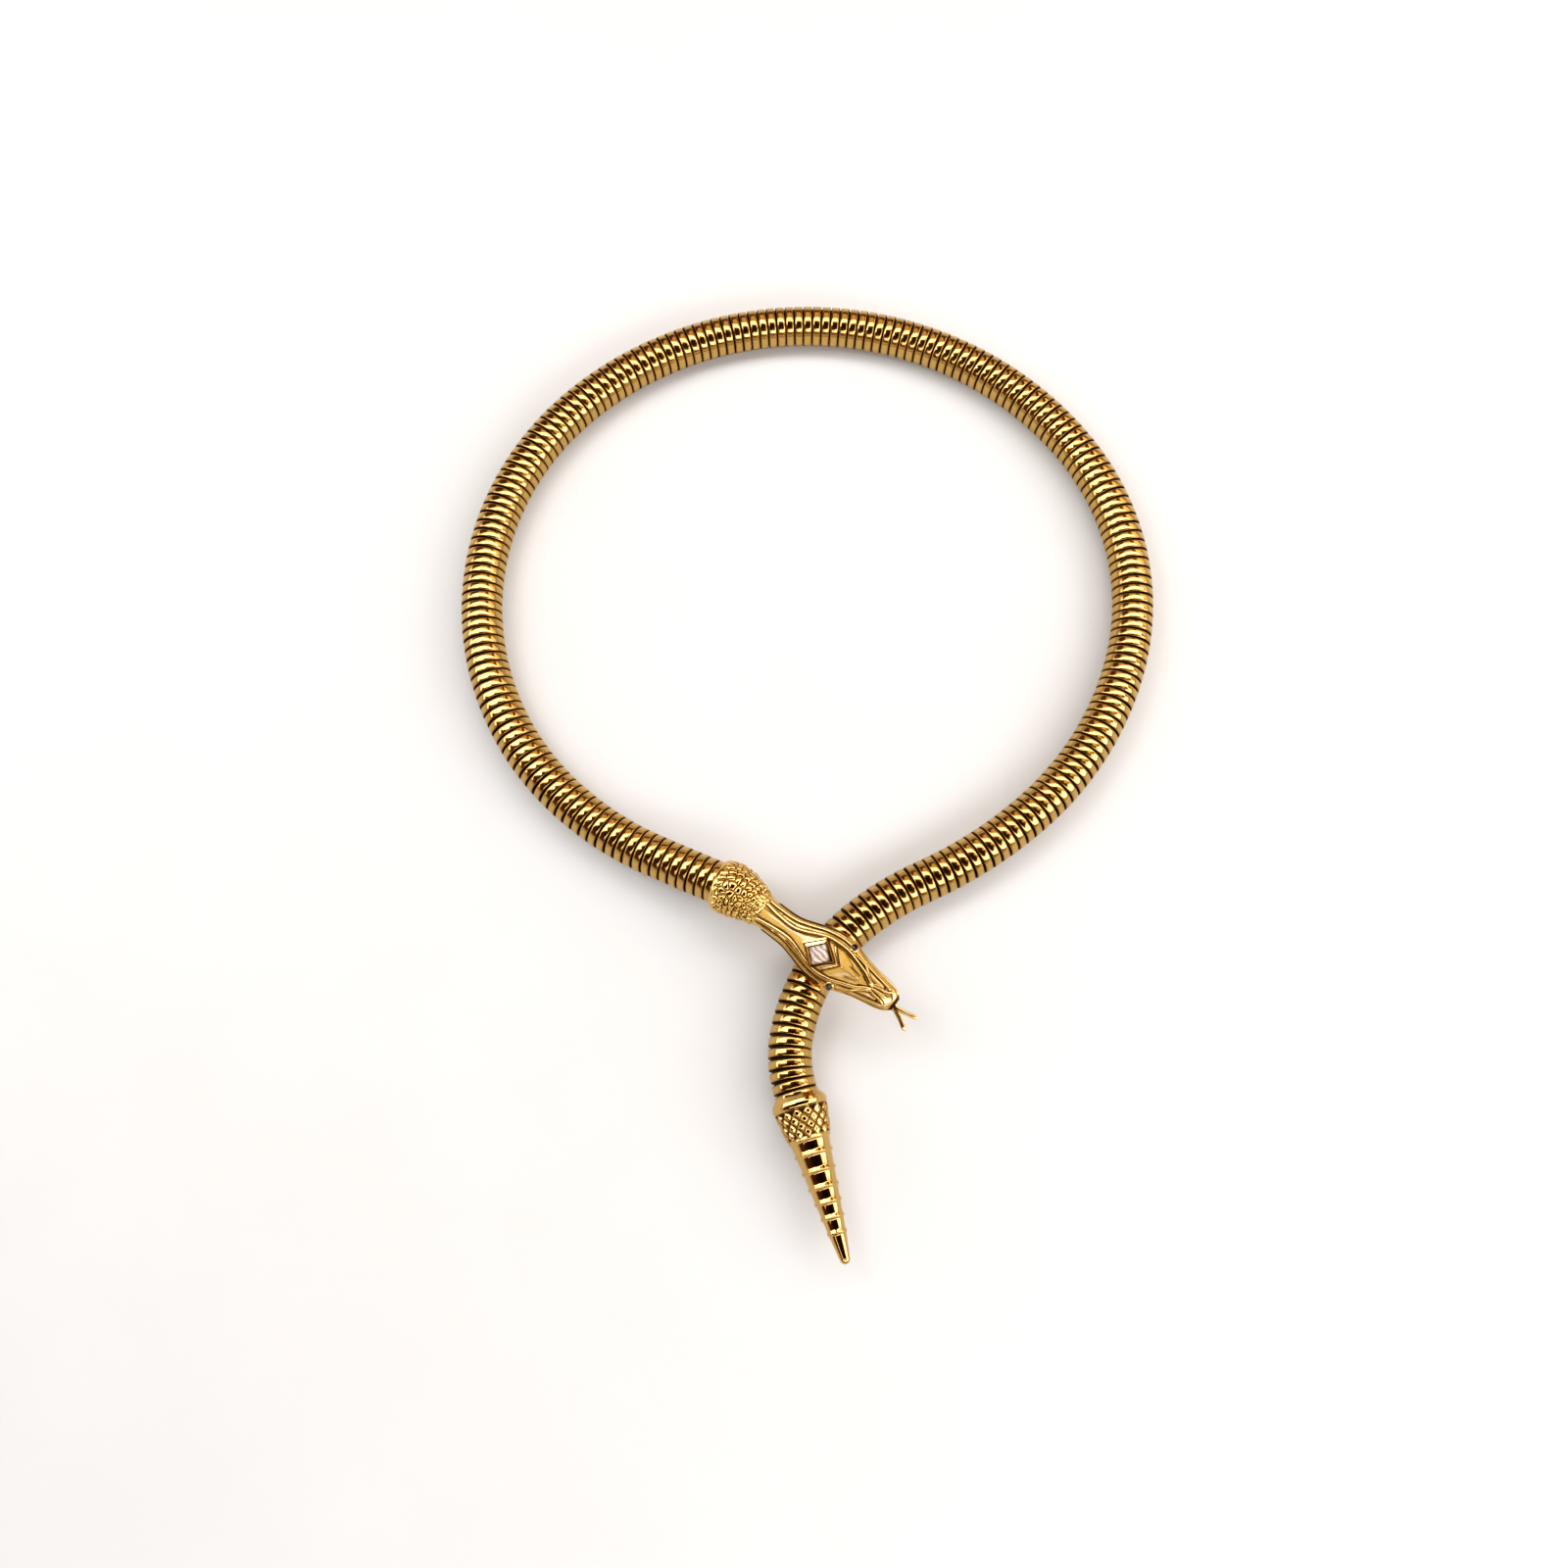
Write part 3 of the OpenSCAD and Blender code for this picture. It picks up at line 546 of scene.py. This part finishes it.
def ridgeStrip(path, halfWidth, high, sink=0.3, taper=0.7):
    # half-round wire laid on the skin along a path of (u, y): across w cos(t), outwards h sin(t), and its
    # ends fade with easeStep
    path = np.array(path, float)
    before = np.diff(path, axis=0, prepend=path[:1] - (path[1] - path[0]))
    after = np.diff(path, axis=0, append=path[-1:] + (path[-1] - path[-2]))
    before /= np.linalg.norm(before, axis=1, keepdims=True)
    after /= np.linalg.norm(after, axis=1, keepdims=True)
    step = before + after
    step /= np.linalg.norm(step, axis=1, keepdims=True)
    mitre = 1 / np.maximum((step * after).sum(1), 0.5)
    along = np.r_[0, np.cumsum(np.linalg.norm(np.diff(path, axis=0), axis=1))]
    fade = 0.12 + 0.88 * easeStep(np.minimum(along, along[-1] - along) / taper)
    t = np.linspace(np.pi, 0, 8)
    across = np.r_[-1.0, np.cos(t), 1.0][None, :] * halfWidth * (fade * mitre)[:, None]
    out = np.r_[-sink, np.sin(t) * high, -sink][None, :] * np.where(np.r_[1, t * 0, 1] > 0, 1, fade[:, None])
    slope = (topHeight(path[:, 0], path[:, 1] + 0.04) - topHeight(path[:, 0], path[:, 1] - 0.04)) / 0.08
    slope = np.clip(slope, -2.5, 2.5)
    flat, steep = (1 / np.hypot(1, slope))[:, None], (slope / np.hypot(1, slope))[:, None]
    side = across * step[:, :1]
    place = path[:, :1] - across * step[:, 1:]
    y = path[:, 1:] + side * flat - out * steep
    z = topHeight(path[:, 0], path[:, 1])[:, None] + side * steep + out * flat
    points = onHead(place, y, z)
    # shade painted dark along the wire's foot, where it meets the skin
    level = np.broadcast_to(np.where(out[:1] < 0.02, 0.9, 0.0), points.shape[:2])
    return grid(points, np.arange(11) * 0.2, along, capStart=True, capEnd=True, values=level)


def headSurface():
    # skin of super-ellipse sections, lowered where the field, the grooves and the mouth are; its columns
    # follow the field's edge and the strand
    u = head["start"] + (headLength - 0.05 - head["start"]) * np.linspace(0, 1, head["rows"])
    n = smoothTable(head["sections"], 4, u)
    w = smoothTable(head["sections"], 1, u)
    edge = np.interp(u, *np.array(head["field"]).T, left=-1, right=-1)
    stopY = [np.clip(edge, 0.6, w * 0.8), np.minimum(smoothTable(head["strand"], 1, u), w * 0.97)]
    angles = [np.arccos(np.clip(y / w, 0, 1) ** (n / 2)) for y in stopY]
    stops = [np.full_like(u, np.pi / 2), *angles, 0 * u, np.full_like(u, -np.pi / 2)]
    half, lane = [], []
    for k, count in enumerate(head["samples"]):
        t = np.arange(count) / count
        t = t - np.sin(2 * np.pi * t) / (4 * np.pi)      # closer together at the lines
        half.append(stops[k][:, None] * (1 - t) + stops[k + 1][:, None] * t)
        lane.append(k + t)
    half = np.concatenate(half + [stops[4][:, None]], 1)
    lane = np.concatenate(lane + [[4.0]])
    a = np.concatenate([half, np.pi - half[:, -2:0:-1]], 1)
    lanes = np.concatenate([lane, lane[-2:0:-1]])[None, :]
    uGrid = np.broadcast_to(u[:, None], a.shape)
    y, z = headSkin(uGrid, a)
    base = onHead(uGrid, y, z)
    normal = outward(base)
    top = z > 0
    slant = np.hypot(1, np.gradient(edge, u))[:, None]
    field = easeStep((edge[:, None] - np.abs(y)) / slant / 0.28) * top
    ridge = np.clip(1 - np.abs(y) / np.maximum(edge[:, None], 0.3), 0, 1)
    lift = -head["fieldDepth"] * field + head["keelRise"] * field * ridge * easeStep((uGrid - 27.6) / 2)
    # painted shade: dark at the field's edge, beside the lines, round the frame, in the nostrils, the mouth
    # and under the head
    recess = 0.6 * bump((edge[:, None] - np.abs(y)) / slant - 0.12, 0.2) * top * (edge[:, None] > 0.1)
    recess = recess * easeStep((31.0 - uGrid) / 1.5)
    for name, start, stop, offset, halfWidth, high in head["wires"]:
        lineY = smoothTable(head[name], 1, np.clip(u, head[name][0][0], head[name][-1][0])) + offset
        lineZ = topHeight(u, lineY)
        d = np.hypot(np.abs(y) - lineY[:, None], z - lineZ[:, None])
        here = (easeStep((uGrid - start) / 0.6) * easeStep((stop - uGrid) / 0.6)) * (z > -0.5)
        groove = bump(d - halfWidth - 0.06, 0.2) * here
        lift -= head["grooveDepth"] * groove
        recess = np.maximum(recess, 0.8 * groove)
    middle, beside, long, wide = head["bezel"]
    lozengeReach = np.abs(uGrid - middle) / long + np.abs(y - beside) / wide
    gap = bump(lozengeReach - 1.07, 0.1) * easeStep((uGrid - middle + 0.3) / 0.6) * top
    lift -= head["gapDepth"] * gap
    recess = np.maximum(recess, 0.95 * gap)
    pit = np.hypot(uGrid - head["nostril"][0], np.abs(y) - head["nostril"][1])
    lift -= head["nostrilDepth"] * bump(pit, head["nostril"][2]) * top
    recess = np.maximum(recess, 0.95 * bump(pit, head["nostril"][2] * 1.05) * top)
    mouth = easeStep((uGrid - 31.0) / 2.5) * bump(lanes - 2.42, 0.3)
    front = easeStep((uGrid - 40.55) / 0.3) * easeStep((z + 0.45) / 0.3)
    lift -= head["mouthDepth"] * mouth + head["tuck"] * easeStep((9.4 - uGrid) / 1.2)
    recess = np.maximum(recess, np.maximum(0.9 * mouth, 0.95 * front))
    recess = np.maximum(recess, 0.4 * (lanes > 3.2) * np.ones_like(uGrid))      # shade painted under the head
    points = clearOfPipe(base + normal * lift[..., None])
    cheek = easeStep((uGrid - 31.5) / 1.5) * easeStep((40.2 - uGrid) / 0.5) * ((lanes > 1) & (lanes < 2))
    tip = (easeStep((uGrid - 29.5) / 1.0) * easeStep((35.4 - uGrid) / 0.8)
           * easeStep((2.4 - np.abs(y)) / 0.4) * top)
    matt = np.clip(field + 0.9 * tip + 0.7 * cheek * easeStep((np.abs(y) - 1.0) / 0.5), 0, 1)
    return grid(points, np.r_[lanes[0] * 2.0, 0.0], u, capStart=True, capEnd=True, values=recess), matt


def between(a, b, count=9):
    # evenly spaced points from a to b: a (1 - t) + b t
    t = np.linspace(0, 1, count)[:, None]
    return np.array(a) * (1 - t) + np.array(b) * t


def vee(apex, end):
    # two straight arms that meet in a sharp point on the middle line
    arm = between((end[0], -end[1]), (apex, 0.0))
    return np.vstack([arm, (arm * [1, -1])[-2::-1]])


def headWires():
    # the table's lines left and right, the short strips, the lip's arc u = u0 - back t^2 at y = half t, and
    # the vee in front of the stone
    wires = []
    for name, start, stop, offset, halfWidth, high in head["wires"]:
        u = np.linspace(start, stop, int((stop - start) / 0.22) + 2)
        y = smoothTable(head[name], 1, u) + offset
        wires += [ridgeStrip(np.stack([u, side * y], 1), halfWidth, high) for side in (1, -1)]
    for a, b, count, *size in head["strips"]:
        wires += [ridgeStrip(between((a[0], side * a[1]), (b[0], side * b[1]), count), *size)
                  for side in ((1, -1) if a[1] else (1,))]
    t = np.linspace(-1, 1, 40)
    front, back, half = head["lipArc"]
    wires.append(ridgeStrip(np.stack([front - back * t ** 2, half * t], 1), 0.26, 0.22, 0.4, 0.4))
    wires.append(ridgeStrip(vee(*head["vee"]), 0.3, 0.2, 0.6, 0.3))
    return wires


skin, matt = headSurface()
headPiece = makePiece("headCasting", [skin] + headWires(), castGold, sharpAngle=60)
mask = headPiece.data.attributes.new("matt", "FLOAT", "POINT")
mask.data.foreach_set("value", np.r_[matt.ravel(), np.zeros(len(headPiece.data.vertices) - matt.size)].astype(
    np.float32))
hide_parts("serpent_head")

# scaled socket of the head
socket = {
    "end": 12.6, "rows": 150, "columns": 230, "lift": 0.44, "jitter": 0.62, "seed": 3.0, "tilt": 0.3,
    # nuggets: size, share of it past a place on the neck, how many courses, their distance as a share
    "scale": 1.5, "small": 0.78, "smallFrom": 6.5, "courses": 12, "courseStep": 0.87,
    "crease": 0.24, "domeRadius": 1.45, "rimHeight": 0.18, "dive": 0.62,
}


def socketSurface():
    # nuggets: from the two nearest centres of a loose lattice, lift * (1 - exp(-(d2 - d1) / crease)) under
    # a low dome, each one a little tilted and of its own height
    u = np.r_[0, 0.12, 0.3, np.linspace(0.45, socket["end"], socket["rows"])]
    a = np.arange(socket["columns"]) * 2 * np.pi / socket["columns"]
    uGrid, aGrid = np.meshgrid(u, a, indexing="ij")
    y, z = headSkin(uGrid, aGrid)
    w = smoothTable(head["sections"], 1, uGrid)
    centres, course = [], socket["scale"]
    for row in range(socket["courses"]):
        size = socket["scale"] * (1.0 if course < socket["smallFrom"] else socket["small"])
        count = int(round(2 * np.pi * float(smoothTable(head["sections"], 1, np.array(course))) / size))
        k = np.arange(count)
        jitter = socket["jitter"] * (np.stack([hashed(k, row, socket["seed"]), hashed(k, row, 7.0)], 1) - 0.5)
        centres.append(np.stack([course + jitter[:, 0] * size,
                                 ((k + row % 2 / 2) / count + jitter[:, 1] / count) * 2 * np.pi], 1))
        course += size * socket["courseStep"]
    centres = np.vstack(centres)
    turn = np.mod(aGrid[None] - centres[:, 1, None, None] + np.pi, 2 * np.pi) - np.pi
    d = np.hypot(uGrid[None] - centres[:, 0, None, None], turn * w[None]).astype(np.float32)
    nearest = d.argmin(0)
    du = uGrid - centres[nearest, 0]
    dv = (np.mod(aGrid - centres[nearest, 1] + np.pi, 2 * np.pi) - np.pi) * w
    d.partition(1, axis=0)
    gapAcross = d[1] - d[0]
    own = hashed(nearest, 5.0)
    plateau = 1 - np.exp(-gapAcross / socket["crease"])
    lean = du * (hashed(nearest, 1.0) - 0.5) + dv * (hashed(nearest, 9.0) - 0.5)
    dome = plateau * (np.sqrt(np.clip(1 - (d[0] / socket["domeRadius"]) ** 2, 0, 1)) * (0.75 + 0.4 * own)
                      + socket["tilt"] * lean)
    topSide = easeStep((np.sin(aGrid) + 0.2) / 0.6)
    fade = easeStep((uGrid - 0.7) / 0.5) * easeStep((9.5 + 1.4 * topSide - uGrid) / 0.9)
    rim = socket["rimHeight"] * easeStep(uGrid / 0.25) * easeStep((1.05 - uGrid) / 0.35)
    lift = socket["lift"] * (dome - 0.25) * fade + rim
    lift -= socket["dive"] * easeStep((uGrid - 10.6) / 1.0)      # runs in under the neck's skin
    base = onHead(uGrid, y, z)
    points = base + outward(base) * lift[..., None]
    # shade painted dark brown in the creases between the nuggets
    recess = fade * easeStep((0.26 - gapAcross) / socket["crease"])
    return grid(points, np.arange(socket["columns"] + 1) * 31.4 / socket["columns"], u, capStart=True,
                capEnd=True, values=recess)


makePiece("headSocketScales", [socketSurface()], socketGold, sharpAngle=75)

# stone setting
setting = {
    "u": 25.05, "y": -0.35, "diagonal": 4.8,
    # share of the way from the frame's outline in to the stone, height over the skin, painted shade
    "steps": ((0.0, -1.3, 0.6), (0.0, 0.1, 0.4), (0.05, 0.3, 0.0), (0.3, 0.34, 0.0), (0.36, 0.16, 0.95),
              (0.46, 0.16, 0.95), (0.52, 0.4, 0.0), (0.9, 0.44, 0.0), (0.97, 0.34, 0.4), (0.99, -0.5, 0.9),
              (1.08, -1.25, 0.6)),
}


def settingSurface():
    # four-sided frame: outline * (1 - t) + stone's square * t, stepped in height
    middle, beside, long, wide = head["bezel"]
    reach = setting["diagonal"] / 2 + 0.08
    turns = np.array([[1, 0], [0, 1], [-1, 0], [0, -1], [1, 0]], float)
    outer = turns * [long, wide] + [middle, beside]
    inner = turns * reach + [setting["u"], setting["y"]]
    share = (np.arange(10) / 10)[:, None]
    base = float(topHeight(np.array(setting["u"]), np.array(0.0)))
    rows = []
    for t, high, _ in setting["steps"]:
        corner = outer * (1 - t) + inner * t
        edge = np.vstack([corner[k] * (1 - share) + corner[k + 1] * share for k in range(4)])
        rows.append(np.column_stack([edge, np.full(len(edge), high)]))
    rows = np.array(rows)
    forward, left, up = axesAt(np.array(headStart + setting["u"]))
    points = (onHead(setting["u"], 0, base) + (rows[..., 0:1] - setting["u"]) * forward
              + rows[..., 1:2] * left + rows[..., 2:3] * up)
    level = np.broadcast_to(np.array([q[2] for q in setting["steps"]])[:, None], points.shape[:2])
    return grid(points, np.arange(41) * 0.5, np.arange(len(rows)) * 0.2, capStart=True, capEnd=True,
                values=level)


def foilSurface():
    # folded foil: z = 0.3 * triangle wave across, so that it glints as a row of bright bars; the same wave
    # also paints the crests white as glints and the valleys grey as shade
    base = float(topHeight(np.array(setting["u"]), np.array(0.0)))
    size = setting["diagonal"] / 2 * 0.96
    p, q = np.meshgrid(np.linspace(-1, 1, 41), np.linspace(-1, 1, 41), indexing="ij")
    x, y = (p - q) / 2 * size, (p + q) / 2 * size
    fold = np.abs(np.mod((q + 0.3 * p) * 2.6 + 0.9 * np.abs(p), 2) - 1)
    z = -1.05 + 0.3 * (1 - fold)
    forward, left, up = axesAt(np.array(headStart + setting["u"]))
    middle = onHead(setting["u"], setting["y"], base)
    points = middle + x[..., None] * forward + y[..., None] * left + z[..., None] * up
    return grid(points, np.arange(41) * 0.12, np.arange(41) * 0.12, wrap=False, values=fold)


makePiece("stoneFrame", [settingSurface()], castGold, sharpAngle=30)
makePiece("stoneFoil", [foilSurface()], foil, sharpAngle=20)

# eye seats
eyes = {"u": 29.6, "y": 4.15, "lean": 38.0, "sides": 28,
        # the ring's profile: radius, height, painted shade
        "seat": ((1.0, -0.7, 0.9), (0.98, -0.1, 0.6), (0.9, 0.12, 0.0), (0.78, 0.24, 0.0),
                 (0.64, 0.28, 0.0), (0.56, 0.22, 0.3), (0.55, -0.5, 0.9))}


def eyeSeat(side):
    # ring turned round the eye's own axis, which leans outwards
    base = float(topHeight(np.array(eyes["u"]), np.array(eyes["y"]))) + 0.05
    forward, left, up = axesAt(np.array(headStart + eyes["u"]))
    t = math.radians(-side * eyes["lean"])
    tiltLeft, tiltUp = math.cos(t) * left + math.sin(t) * up, math.cos(t) * up - math.sin(t) * left
    a = np.arange(eyes["sides"]) * 2 * np.pi / eyes["sides"]
    ring = np.cos(a)[:, None] * forward + np.sin(a)[:, None] * tiltLeft
    profile = np.array(eyes["seat"])
    points = (onHead(eyes["u"], side * eyes["y"], base) + profile[:, None, 0:1] * ring[None]
              + profile[:, None, 1:2] * tiltUp)
    level = np.broadcast_to(profile[:, 2:3], points.shape[:2])
    return grid(points, np.arange(eyes["sides"] + 1) * 0.2, np.arange(len(profile)) * 0.2, capStart=True,
                capEnd=True, values=level)


makePiece("eyeSeats", [eyeSeat(1), eyeSeat(-1)], castGold, sharpAngle=60)

# forked tongue
tongue = {"root": 37.4, "z": -0.1, "ahead": 0.3, "droop": 3.0, "turn": -10.0, "fork": 5.5, "overlap": 1.6,
          "tip": (7.9, 1.5), "sides": 16}


def tongueTube(path, halfWidths, thick):
    # flat oval carried along a path: p = path + w cos(a) sideways + t sin(a) up
    path = np.array(path, float)
    step = np.gradient(path, axis=0)
    step /= np.linalg.norm(step, axis=1, keepdims=True)
    sideways = np.stack([-step[:, 1], step[:, 0]], 1)
    a = np.arange(tongue["sides"]) * 2 * np.pi / tongue["sides"]
    w = np.array(halfWidths)[:, None] * np.cos(a)[None, :]
    xy = path[:, None, :] + sideways[:, None, :] * w[..., None]
    z = np.array(thick)[:, None] * np.sin(a)[None, :]
    turn, droop = math.radians(tongue["turn"]), math.radians(tongue["droop"])
    x = xy[..., 0] * math.cos(turn) - xy[..., 1] * math.sin(turn) + tongue["ahead"]
    y = xy[..., 0] * math.sin(turn) + xy[..., 1] * math.cos(turn)
    forward, left, up = axesAt(np.array(headStart + tongue["root"]))
    ahead = math.cos(droop) * forward - math.sin(droop) * up
    above = math.cos(droop) * up + math.sin(droop) * forward
    points = (onHead(tongue["root"], 0, tongue["z"]) + x[..., None] * ahead + y[..., None] * left
              + z[..., None] * above)
    return grid(points, np.arange(tongue["sides"] + 1) * 0.1, np.arange(len(path)) * 0.4, capStart=True,
                capEnd=True)


def prong(side):
    # one side of the fork: x runs evenly from inside the stem to the tip, y = 0.24 + reach * easeStep(0.82 t)
    t = np.linspace(0, 1, 12)
    start = tongue["fork"] - tongue["overlap"]
    x = start + (tongue["tip"][0] + 0.3 - start) * t
    y = side * (0.24 + (tongue["tip"][1] - 0.14) * easeStep(t * 0.82) / easeStep(0.82))
    ends = np.r_[np.linspace(0.36, 0.47, 3), np.linspace(0.47, 0.4, 5), 0.43, 0.48, 0.42, 0.16]
    return tongueTube(np.stack([x, y], 1), ends, np.r_[np.full(8, 0.3), 0.32, 0.34, 0.3, 0.1])


stemX = np.linspace(0, tongue["fork"] + 0.1, 12)
stem = tongueTube(np.stack([stemX, 0 * stemX], 1), np.r_[np.linspace(1.1, 0.7, 9), 0.64, 0.6, 0.36],
                  np.r_[np.full(10, 0.3), 0.26, 0.16])
tonguePiece = makePiece("forkedTongue", [stem, prong(1), prong(-1)], castGold, sharpAngle=60)
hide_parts("forked_tongue")

# carried-over solids
for name, material in (("head_stone", stoneGlass), ("eye_left", eyeGlass), ("eye_right", eyeGlass),
                       ("head_clasp", claspBrass)):
    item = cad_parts[name]
    item.data.materials.clear()
    item.data.materials.append(material)
print("solids dressed")

# floor, light and camera
studio = {
    "floor": 1.3, "height": 0.38,
    # the room by height of the direction: pale at the floor's edge, dim and warm overhead
    "sky": ((0.0, (0.86, 0.85, 0.84)), (0.19, (0.78, 0.77, 0.75)), (0.27, (0.2, 0.1, 0.05)),
            (1.0, (0.014, 0.004, 0.0012))),
    "toe": ((0.03, 0.0155), (0.08, 0.055), (0.15, 0.124), (0.28, 0.28), (0.6, 0.6)),      # tone, tone shown
    "warm": (1.0, 0.74, 0.48), "warmUnder": 2.5,      # panels under this brightness are dim, warm reflectors
    # Name, lowest and highest x, lowest and highest y in metres, brightness. These started from a scratch
    # program that fitted renders, lit by one cell of the ceiling each, to the photo's tones. The cells were
    # then merged, rounded, scaled and changed.
    "panels": (("leftOuterPanel", -1.6, -0.55, 0.02, 0.24, 4.2),
               ("leftFrontPanel", -1.6, -0.95, -0.3, 0.02, 4.4),
               ("frontMiddlePanel", -0.32, 0.0, -0.6, -0.32, 2.6),
               ("leftBackPanel", -1.6, -0.85, 0.24, 0.7, 2.9),
               ("leftPanel", -0.55, -0.32, -0.02, 0.24, 4.6),
               ("leftInnerPanel", -0.32, -0.15, -0.02, 0.1, 6.6),
               ("backStrip", -0.32, 0.32, 0.1, 0.24, 5.0),
               ("backStripRight", 0.32, 0.55, 0.1, 0.24, 7.1),
               ("middleBackPanel", -0.15, 0.15, 0.24, 0.7, 1.0),
               ("middleRightPanel", 0.15, 0.32, -0.02, 0.1, 1.3),
               ("rightFrontPanel", 0.0, 1.6, -0.6, -0.3, 5.5),
               ("rightInnerPanel", 0.32, 0.55, -0.3, -0.02, 3.2),
               ("rightPanel", 0.55, 0.85, -0.3, -0.02, 6.0),
               ("rightOuterPanel", 0.85, 1.6, -0.3, -0.02, 5.0),
               ("rightSidePanel", 0.55, 1.6, -0.02, 0.1, 3.0),
               ("rightBackPanel", 0.32, 1.6, 0.24, 0.7, 2.4)),
}
floorMaterial, floorTree, floorShader = newMaterial("matt white card")
floorPlace = addNode(floorTree, "ShaderNodeTexCoord")
floorNoise = addNode(floorTree, "ShaderNodeTexNoise", {"Scale": 40.0, "Detail": 3.0},
                     Vector=floorPlace.outputs["Object"])
floorRamp = addNode(floorTree, "ShaderNodeMapRange", {"To Min": 0.6, "To Max": 0.63},
                    Value=floorNoise.outputs["Fac"])
floorColour = addNode(floorTree, "ShaderNodeCombineColor", Red=floorRamp.outputs["Result"],
                      Green=floorRamp.outputs["Result"], Blue=floorRamp.outputs["Result"])
floorTree.links.new(floorColour.outputs["Color"], floorShader.inputs["Base Color"])
floorShader.inputs["Roughness"].default_value = 0.9
floorShader.inputs["Specular IOR Level"].default_value = 0.1
half = studio["floor"] / 2
floorMesh = bpy.data.meshes.new("floor")
floorMesh.from_pydata([(-half, -half, 0), (half, -half, 0), (half, half, 0), (-half, half, 0)], [],
                      [(0, 1, 2, 3)])
floorMesh.materials.append(floorMaterial)
floor = bpy.data.objects.new("floor", floorMesh)
bpy.context.scene.collection.objects.link(floor)

for name, x0, x1, y0, y1, radiance in studio["panels"]:
    lamp = bpy.data.lights.new(name, "AREA")
    lamp.shape = "RECTANGLE"
    lamp.size, lamp.size_y = x1 - x0, y1 - y0
    lamp.energy = math.pi * radiance * (x1 - x0) * (y1 - y0)    # watts of an even panel of that brightness
    lamp.color = studio["warm"] if radiance < studio["warmUnder"] else (1, 1, 1)
    item = bpy.data.objects.new(name, lamp)
    item.location = ((x0 + x1) / 2, (y0 + y1) / 2, studio["height"])
    item.visible_camera = False
    bpy.context.scene.collection.objects.link(item)

world = bpy.data.worlds.new("studio")    # brightest at the horizon, dim overhead, even all round
world.use_nodes = True
sky = world.node_tree
skyPlace = addNode(sky, "ShaderNodeTexCoord")
skyAxes = addNode(sky, "ShaderNodeSeparateXYZ", i0=skyPlace.outputs["Generated"])
skyRamp = addNode(sky, "ShaderNodeValToRGB", Fac=skyAxes.outputs["Z"])
for k, (place, colour) in enumerate(studio["sky"]):
    stop = skyRamp.color_ramp.elements[k] if k < 2 else skyRamp.color_ramp.elements.new(place)
    stop.position, stop.color = place, (*colour, 1)
sky.links.new(skyRamp.outputs["Color"], sky.nodes["Background"].inputs["Color"])
bpy.context.scene.world = world

# the photo's contrast: shades under about a quarter of white fall away faster, which makes dark gold redder
tones = bpy.context.scene.view_settings
tones.view_transform = "Standard"
tones.use_curve_mapping = True
for darkness, shown in studio["toe"]:
    tones.curve_mapping.curves[3].points.new(darkness, shown)
tones.curve_mapping.update()
print("floor and light placed")

view = {"target": (-4.82, -8.64, 4.25), "distance": 311.0, "tilt": 17.0, "lens": 36.0}
camera = bpy.data.objects.new("camera", bpy.data.cameras.new("camera"))
camera.data.lens, camera.data.sensor_width = view["lens"], 36.0
camera.data.clip_start, camera.data.clip_end = 0.01, 10.0
tilt = math.radians(view["tilt"])
camera.location = [view["target"][0] * mm, (view["target"][1] - view["distance"] * math.sin(tilt)) * mm,
                   (view["target"][2] + view["distance"] * math.cos(tilt)) * mm]
camera.rotation_euler = (tilt, 0, 0)
bpy.context.scene.collection.objects.link(camera)
bpy.context.scene.camera = camera

print("scene ready")
